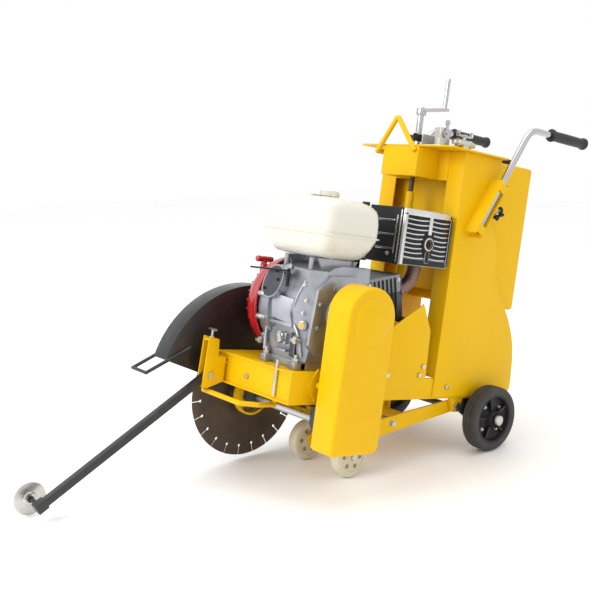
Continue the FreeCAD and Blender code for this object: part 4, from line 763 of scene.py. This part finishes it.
def case_body(bm):
    """Waisted body, and the round flange that carries the fan cover."""
    # height, front of the body, x of its front corner, front of its left side
    levels = [
        (158, -697, 120, -684), (205, -702, 112, -676), (240, -703, 96, -668), (300, -703, 84, -660),
        (335, -699, 92, -656), (372, -688, 104, -650), (402, -676, 108, -640), (414, -640, 104, -622),
        (420, -590, 100, -588),
    ]
    inner, left, rear = -24, 138, -490
    loft(bm, [
        [(inner, y, z), (x, y, z), (left, y_side, z), (left, rear, z), (inner, rear, z)]
        for z, y, x, y_side in levels
    ])
    rim = []
    for k in range(120):
        turn = 2 * math.pi * k / 120
        y = min(-490.0, CRANKSHAFT_Y + 127 * math.cos(turn))
        rim.append((y, CRANKSHAFT_Z + 127 * math.sin(turn)))
    prism_x(bm, rim, -38, 4, 1.5)
    step = [
        (CRANKSHAFT_Y + (y - CRANKSHAFT_Y) * 0.93, CRANKSHAFT_Z + (z - CRANKSHAFT_Z) * 0.93) for y, z in rim
    ]
    prism_x(bm, step, 2, 16, 5.0)
    lug = [(0, 0.5), (0, 8), (20, 8), (24, 5.5), (24, 0.5)]
    for degrees in (128, 168, 196, 222, 244):
        turn = math.radians(degrees)
        y, z = CRANKSHAFT_Y + 129 * math.cos(turn), CRANKSHAFT_Z + 129 * math.sin(turn)
        lathe(bm, (-39, y, z), X_AXIS, lug, 28)
        hex_head(bm, (-15, y, z), X_AXIS, 8, 5, CASE_ZINC)


def case_face(bm):
    """Inspection face inside a rim of the case's own alloy, leaning back with the case; the face is dark alloy as
    painted shade of a face turned from the light.
    """
    face_lean_deg = 17
    lean = turned((2, -716, 356), math.radians(90 - face_lean_deg))
    outline = superellipse(38, 47, 2.3, 64)
    add_plate(bm, outline, lean @ Matrix.Translation((0, 0, -22)), 26, 1.2, 0)
    inside = [(x * 0.9, y * 0.92) for x, y in outline]
    add_plate(bm, inside, lean @ Matrix.Translation((0, 0, -2)), 6.6, 0.6, CASE_SHADE)
    facing = (lean.to_3x3() @ Vector(Z_AXIS)).normalized()
    for x, y in ((-20, -24), (22, 6), (6, 30)):
        hex_head(bm, lean @ Vector((x, y, 4.6)), facing, 6.5, 4, CASE_BLACK)


def case_front(bm):
    """Web sloping from the flange to the narrow waist, the ledge under it, and the front's ribs."""
    loft(bm, [
        [(10, -718, 326), (84, -705, 318), (84, -696, 300), (10, -700, 300)],
        [(14, -722, 300), (76, -708, 286), (76, -696, 270), (14, -700, 270)],
        [(14, -716, 262), (92, -709, 250), (92, -697, 240), (14, -700, 240)],
    ])
    block(bm, (-20, -716, 244), (98, -700, 254), 3.0)
    rod(bm, [(96, -703, 250), (112, -704, 236), (124, -700, 205), (132, -697, 170)], 5)
    rod(bm, [(-14, -706, 246), (-12, -709, 205), (-8, -710, 168)], 5)
    rod(bm, [(84, -703, 300), (92, -700, 332), (104, -688, 372)], 3.5)
    # dark strip beside the side cover: painted shade in dark alloy
    prism_x(bm, [(-706, 232), (-710, 228), (-710, 170), (-704, 166)], 96, 116, 1.0, CASE_SHADE)
    block(bm, (30, -715, 176), (86, -700, 182), 1.6)
    block(bm, (48, -713, 196), (80, -700, 226), 3.0)


def case_plugs(bm):
    """Drain plug, oil plug, governor boss and the bolts round them."""
    plug_way = (0.45, -0.89, 0)
    bolt_way = (0.3, -0.95, 0)
    place = Matrix.Translation((66, -712, 212)) @ Matrix.Rotation(math.radians(-28), 4, "Y")
    block(bm, (-9, -16, -13), (9, 6, 13), 2.0, CASE_ZINC, place)
    lathe(bm, (60, -716, 214), (0, -1, 0), [(0, 15), (5, 15), (7, 12), (7, 1)], 36, CASE_ZINC)
    lathe(bm, (118, -690, 254), plug_way, [(0, 13), (9, 13), (10.5, 11), (10.5, 1)], 36)
    lathe(bm, (122.5, -699, 254), plug_way, [(0, 10.5), (4, 10.5), (4, 1)], 6, CASE_BRASS)
    lathe(bm, (40, -695, 392), (0, -0.8, 0.6), [(0, 14), (12, 14), (14, 11), (14, 1)], 36)
    for x, z in ((104, 360), (118, 320), (112, 285)):
        hex_head(bm, (x, -690, z), bolt_way, 8, 5, CASE_ZINC)


def case_base(bm):
    """Base with its front feet and studs, and the stays under the fuel tank."""
    washer = [(0, 1), (0, 12.5), (1.6, 12.5), (1.8, 1)]
    stud = [(0, 1), (0, 5), (17, 5), (18, 4), (18, 1)]
    block(bm, (-30, -701, 136.5), (140, -462, 158), 2.5)
    for x in (0, 126):
        block(bm, (x - 14, -721, 136.5), (x + 14, -683, 157), 2.5)
        lathe(bm, (x, -709, 156), Z_AXIS, washer, 32, CASE_ZINC)
        lathe(bm, (x, -709, 158), Z_AXIS, stud, 24, CASE_ZINC)
    for x in (-20, 104):
        prism_x(bm, [(-640, 398), (-540, 398), (-516, 435.6), (-664, 435.6)], x, x + 8, 1.5)
    for x, y in ((-8, -672), (96, -672), (-2, -530), (108, -530)):
        rod(bm, [(x, y, 404), (x + 4, y - 2, 435)], 7)


def crankcase():
    """Die-cast case: waisted front, flange for the fan cover, inspection face, plugs, feet and stays."""
    bm = bmesh.new()
    case_body(bm)
    case_face(bm)
    case_front(bm)
    case_plugs(bm)
    case_base(bm)
    # the dark alloy here paints shade on the CASE_SHADE faces
    looks = (LOOKS["cast_alloy"], DARK_ALLOY, BRASS, LOOKS["zinc_steel"], LOOKS["black_plastic"])
    rebuilt("crankcase", "_casting", bm, *looks)


def louvre(bm, low, high, z):
    """Bowed slat across the guard's outer face, between two y values."""
    steps = 10
    outlines = []
    for k in range(steps + 1):
        t = k / steps
        bow = math.sin(math.pi * t)
        y, height, out = low + (high - low) * t, z - 2.4 * bow, 158.6 + 3.4 * bow
        outlines.append([
            (out - 2.5, y, height + 2.0),
            (out, y, height + 1.0),
            (out + 0.4, y, height - 2.4),
            (out - 2.6, y, height - 2.9),
        ])
    loft(bm, outlines)


def muffler_guard():
    """Black pressed box; outer face with two columns of bowed louvres round the outlet. The louvres and the top
    and front strips are bright steel, partly painted highlight; the back and bottom strips are black as painted
    shade.
    """
    # mark 0 (bright steel) is painted highlight on the louvres, the frame's top and front, the upper bar and the
    # front edge strip; the plastic mark (black) is painted shade on the frame's back and bottom, the lower bar and
    # the outlet's bore
    black, plastic, zinc = 1, 2, 3
    face_x = 158
    y0, y1, z0, z1 = -408.0, -206.0, 443.0, 603.0
    outlet = (face_x, OUTLET_Y, OUTLET_Z)
    bm = bmesh.new()
    back = []
    for k in range(7):
        turn = math.radians(15 * k)
        back.append((y1 - 14 + 14 * math.sin(turn), z1 - 14 + 14 * math.cos(turn)))
    front = []
    for k in range(4):
        turn = math.radians(90 - 30 * k)
        front.append((y0 + 3 - 3 * math.sin(turn), z1 - 3 + 3 * math.cos(turn)))
    prism_x(bm, [(y0, z0), *front, *back, (y1, z0 + 4)], 20, 158.4, 2.0, black)
    # frame of the outer face: bright steel at the top and front as painted highlight, black at the back and bottom
    # as painted shade
    block(bm, (face_x, y0 + 1, 584), (162.4, y1 - 12, z1 - 1), 1.2)
    block(bm, (face_x, y0 + 1, z0 + 1), (162.4, y0 + 13, 590), 1.2)
    block(bm, (face_x, y1 - 10, z0 + 4), (162.4, y1 - 0.5, z1 - 16), 1.2, plastic)
    block(bm, (face_x, y0 + 10, z0 + 1), (161.4, y1 - 4, z0 + 20), 1.0, plastic)
    # bar between the two columns, above and below the outlet: bright steel above as painted highlight, black below
    # as painted shade
    block(bm, (face_x, -304, 535), (162.0, -290, 592), 1.2)
    block(bm, (face_x, -306, z0 + 10), (161.6, -288, 485), 1.2, plastic)
    for row in range(9):
        z = z0 + 25 + 13.4 * row
        beside_outlet = 15.0 if 478 < z < 545 else 0.0
        louvre(bm, y0 + 12, -303 - beside_outlet, z)
        louvre(bm, -291 + beside_outlet, y1 - 9, z)
    lathe(bm, outlet, X_AXIS, [(0, 25), (3, 25), (5.5, 22.5), (5.5, 16), (-30, 15), (-30, 1)], 60, plastic)
    tail_pipe = [(-2, 20), (5, 19), (6.2, 17), (6.0, 15.4), (-2, 15.2)]
    lathe_ring(bm, (face_x + 1, OUTLET_Y, OUTLET_Z), X_AXIS, tail_pipe, 60, zinc)
    # painted highlight strip in bright steel along the front face's edge, ribs and bolt of the front face
    block(bm, (146, y0 - 1.6, z0 + 4), (150.5, y0 + 1, z1 - 6), 0.8)
    for z in (482, 522, 562):
        block(bm, (62, y0 - 3.6, z - 1), (128, y0 + 1, z + 5), 1.8, black)
    block(bm, (132, y0 - 2.2, 470), (137, y0 + 1, 580), 1.4, black)
    hex_head(bm, (112, y0, 470), (0, -1, 0), 9, 5, zinc)
    # bright steel is painted highlight and black plastic is painted shade on the guard's strips
    looks = (PAINTED_HIGHLIGHT_STEEL, GUARD_BLACK, LOOKS["black_plastic"], LOOKS["zinc_steel"])
    rebuilt("muffler_guard", "_shell", bm, *looks)


def muffler():
    """Silencer can, its wide header pipe with a flange, and the outlet tube."""
    pipe = [(104, -343, 366), (105, -322, 374), (106, -300, 392), (106, -287, 418), (106, -284, 453)]
    flange = [(-4, 26), (4, 26), (5, 24), (5, 1)]
    outlet = [(0, 1), (0, 15), (19, 15), (19, 12), (8, 12), (8, 1)]
    bm = bmesh.new()
    block(bm, (32, -392, 452), (146, -220, 590), 9.0)
    rod(bm, pipe, 20, 28)
    lathe(bm, pipe[0], (0, -0.9, -0.4), flange, 40)
    lathe(bm, (140, OUTLET_Y, OUTLET_Z), X_AXIS, outlet, 40)
    rebuilt("muffler", "_can", bm, LOOKS["exhaust_steel"])


def handle_grip(side):
    """Flanged rubber grip with fine rings and a rounded end."""
    node = "handle_grip_left" if side > 0 else "handle_grip_right"
    rings = 70
    profile = [(148, 10.1), (148, 18.8), (149, 20), (152.5, 20), (154, 18), (158, 15.4)]
    for k in range(rings):
        swell = 0.6 * math.sin(math.pi * k / (rings - 1))
        profile.append((160 + 2.2 * k, 15.2 + 0.35 * (k % 2) + swell))
    profile += [(314, 15.6), (317, 18.2), (320, 19), (325, 19), (327.4, 17.4), (327.9, 15), (327.9, 1)]
    bm = bmesh.new()
    lathe(bm, (side * HANDLE_X, 0, HANDLE_TOP_Z), Y_AXIS, profile, 56)
    rebuilt(node, "_rubber", bm, LOOKS["grip_rubber"], angle=55)


def clamp_knob(side):
    """Star knob with five soft lobes on its stud, square to the handle's socket."""
    node = "clamp_knob_left" if side > 0 else "clamp_knob_right"
    lean = turned((0, SOCKET_Y, SOCKET_Z), math.radians(SOCKET_SLOPE_DEG - 90))
    x, z = side * HANDLE_X, KNOB_ALONG_SOCKET
    steps = 90
    outlines = []
    for along, grow in ((33, 0.80), (34, 0.92), (37, 1.0), (46, 1.0), (49, 0.93), (50.5, 0.80), (52, 0.45)):
        outline = []
        for k in range(steps):
            turn = 2 * math.pi * k / steps
            radius = (17.6 + 5.6 * math.cos(5 * turn)) * grow
            outline.append(lean @ Vector((x + radius * math.cos(turn), along, z + radius * math.sin(turn))))
        outlines.append(outline)
    stud = [(0, 0.5), (0, 5), (20, 5), (20, 12), (24, 13), (24, 1)]
    stud_end = [(0, 7), (0.5, 7), (0.5, 5.5), (-0.5, 5), (-0.5, 1)]
    bm = bmesh.new()
    loft(bm, outlines)
    way = (lean.to_3x3() @ Vector(Y_AXIS)).normalized()
    lathe(bm, lean @ Vector((x, 10.6, z)), way, stud, 30, 1)
    lathe(bm, lean @ Vector((x, 51.5, z)), way, stud_end, 30, 1)
    rebuilt(node, "_star", bm, LOOKS["black_plastic"], LOOKS["zinc_steel"])


def spark_plug():
    """Plug with a ribbed rubber boot and its lead."""
    place = on_cylinder() @ Matrix.Translation((90, -334, -62))
    way = (place.to_3x3() @ Vector((0.2, 0.75, -0.5))).normalized()
    start = place @ Vector((0, 0, 0))
    profile = [(0, 1), (0, 9)]
    for k in range(8):
        profile += [(2 + 5 * k, 9.6), (3.4 + 5 * k, 11), (5 + 5 * k, 11), (6.2 + 5 * k, 9.2)]
    profile += [(44, 9), (46, 6), (46, 1)]
    bm = bmesh.new()
    lathe(bm, start, way, profile, 40)
    rod(bm, [start + way * 30, start + way * 38 + Vector((-14, 4, 8)), start + Vector((-40, 8, 22))], 3.4)
    lathe(bm, start - way * 4, way, [(0, 8), (5, 8), (5, 1)], 6, 1)
    rebuilt("spark_plug", "_boot", bm, LOOKS["grip_rubber"], LOOKS["zinc_steel"])


def lift_screw():
    """Dark screw with rolled rings below and a thrust collar, and a bright plain post for the crank."""
    screw = [(560, 0.5), (560.4, 6.8)]
    for k in range(43):
        screw += [(562 + 4 * k, 7.85), (563.6 + 4 * k, 7.85), (564.4 + 4 * k, 7.0), (565.4 + 4 * k, 7.0)]
    screw += [(737.2, 7.8), (737.8, 14.6), (746.6, 14.6), (747.2, 7.8), (800, 7.8), (800, 0.5)]
    post = [(800, 0.5), (800, 9.7), (898.6, 9.7), (898.8, 0.5)]
    bm = bmesh.new()
    lathe(bm, (0, SCREW_Y, 0), Z_AXIS, screw, 48)
    lathe(bm, (0, SCREW_Y, 0), Z_AXIS, post, 48, 1)
    rebuilt("lift_screw", "_rod", bm, LOOKS["blade_steel"], LOOKS["polished_steel"])


def engine_details():
    """Ribs and screws on the cylinder's shroud, and the bolt on the swing arm's side."""
    tilt = on_cylinder()
    bm = bmesh.new()
    for k in range(7):
        y = -470 + 16 * k
        points = ((137.5, y, 62), (139, y + 1, 20), (137, y + 4, -20), (131, y + 8, -58))
        rod(bm, [tilt @ Vector(p) for p in points], 2.6)
    for y in (-476, -362):
        hex_head(bm, tilt @ Vector((136.2, y, 56)), X_AXIS, 9, 5, 1)
    mesh = from_bmesh(bm, "shroud_ribs_mesh")
    finish_piece("shroud_ribs", mesh, "cylinder_shroud", LOOKS["black_plastic"], LOOKS["zinc_steel"])
    bm = bmesh.new()
    hex_head(bm, (147, -329, -18), X_AXIS, 15, 8)
    mesh = from_bmesh(bm, "arm_side_bolt_mesh")
    finish_piece("arm_side_bolt", mesh, "front_axle_bolts", LOOKS["zinc_steel"])


studio()
for lamp in LAMPS:
    area_light(*lamp)
camera()

fuel_tank()
fan_cover()
recoil_starter()
recoil_grip()
rear_wheel(1)
rear_wheel(-1)
front_wheel("front_wheel_left", FRONT_WHEEL_LEFT_X)
front_wheel("front_wheel_right", FRONT_WHEEL_RIGHT_X)
crankcase()
muffler_guard()
muffler()
lift_screw()
engine_details()
spark_plug()
for hand in (1, -1):
    handle_grip(hand)
    clamp_knob(hand)
for name in sorted(set(frame["nodes"]) - REBUILT):
    softened(name, COVER_EDGE_WIDTH if name == "belt_cover" else EDGE_WIDTH)
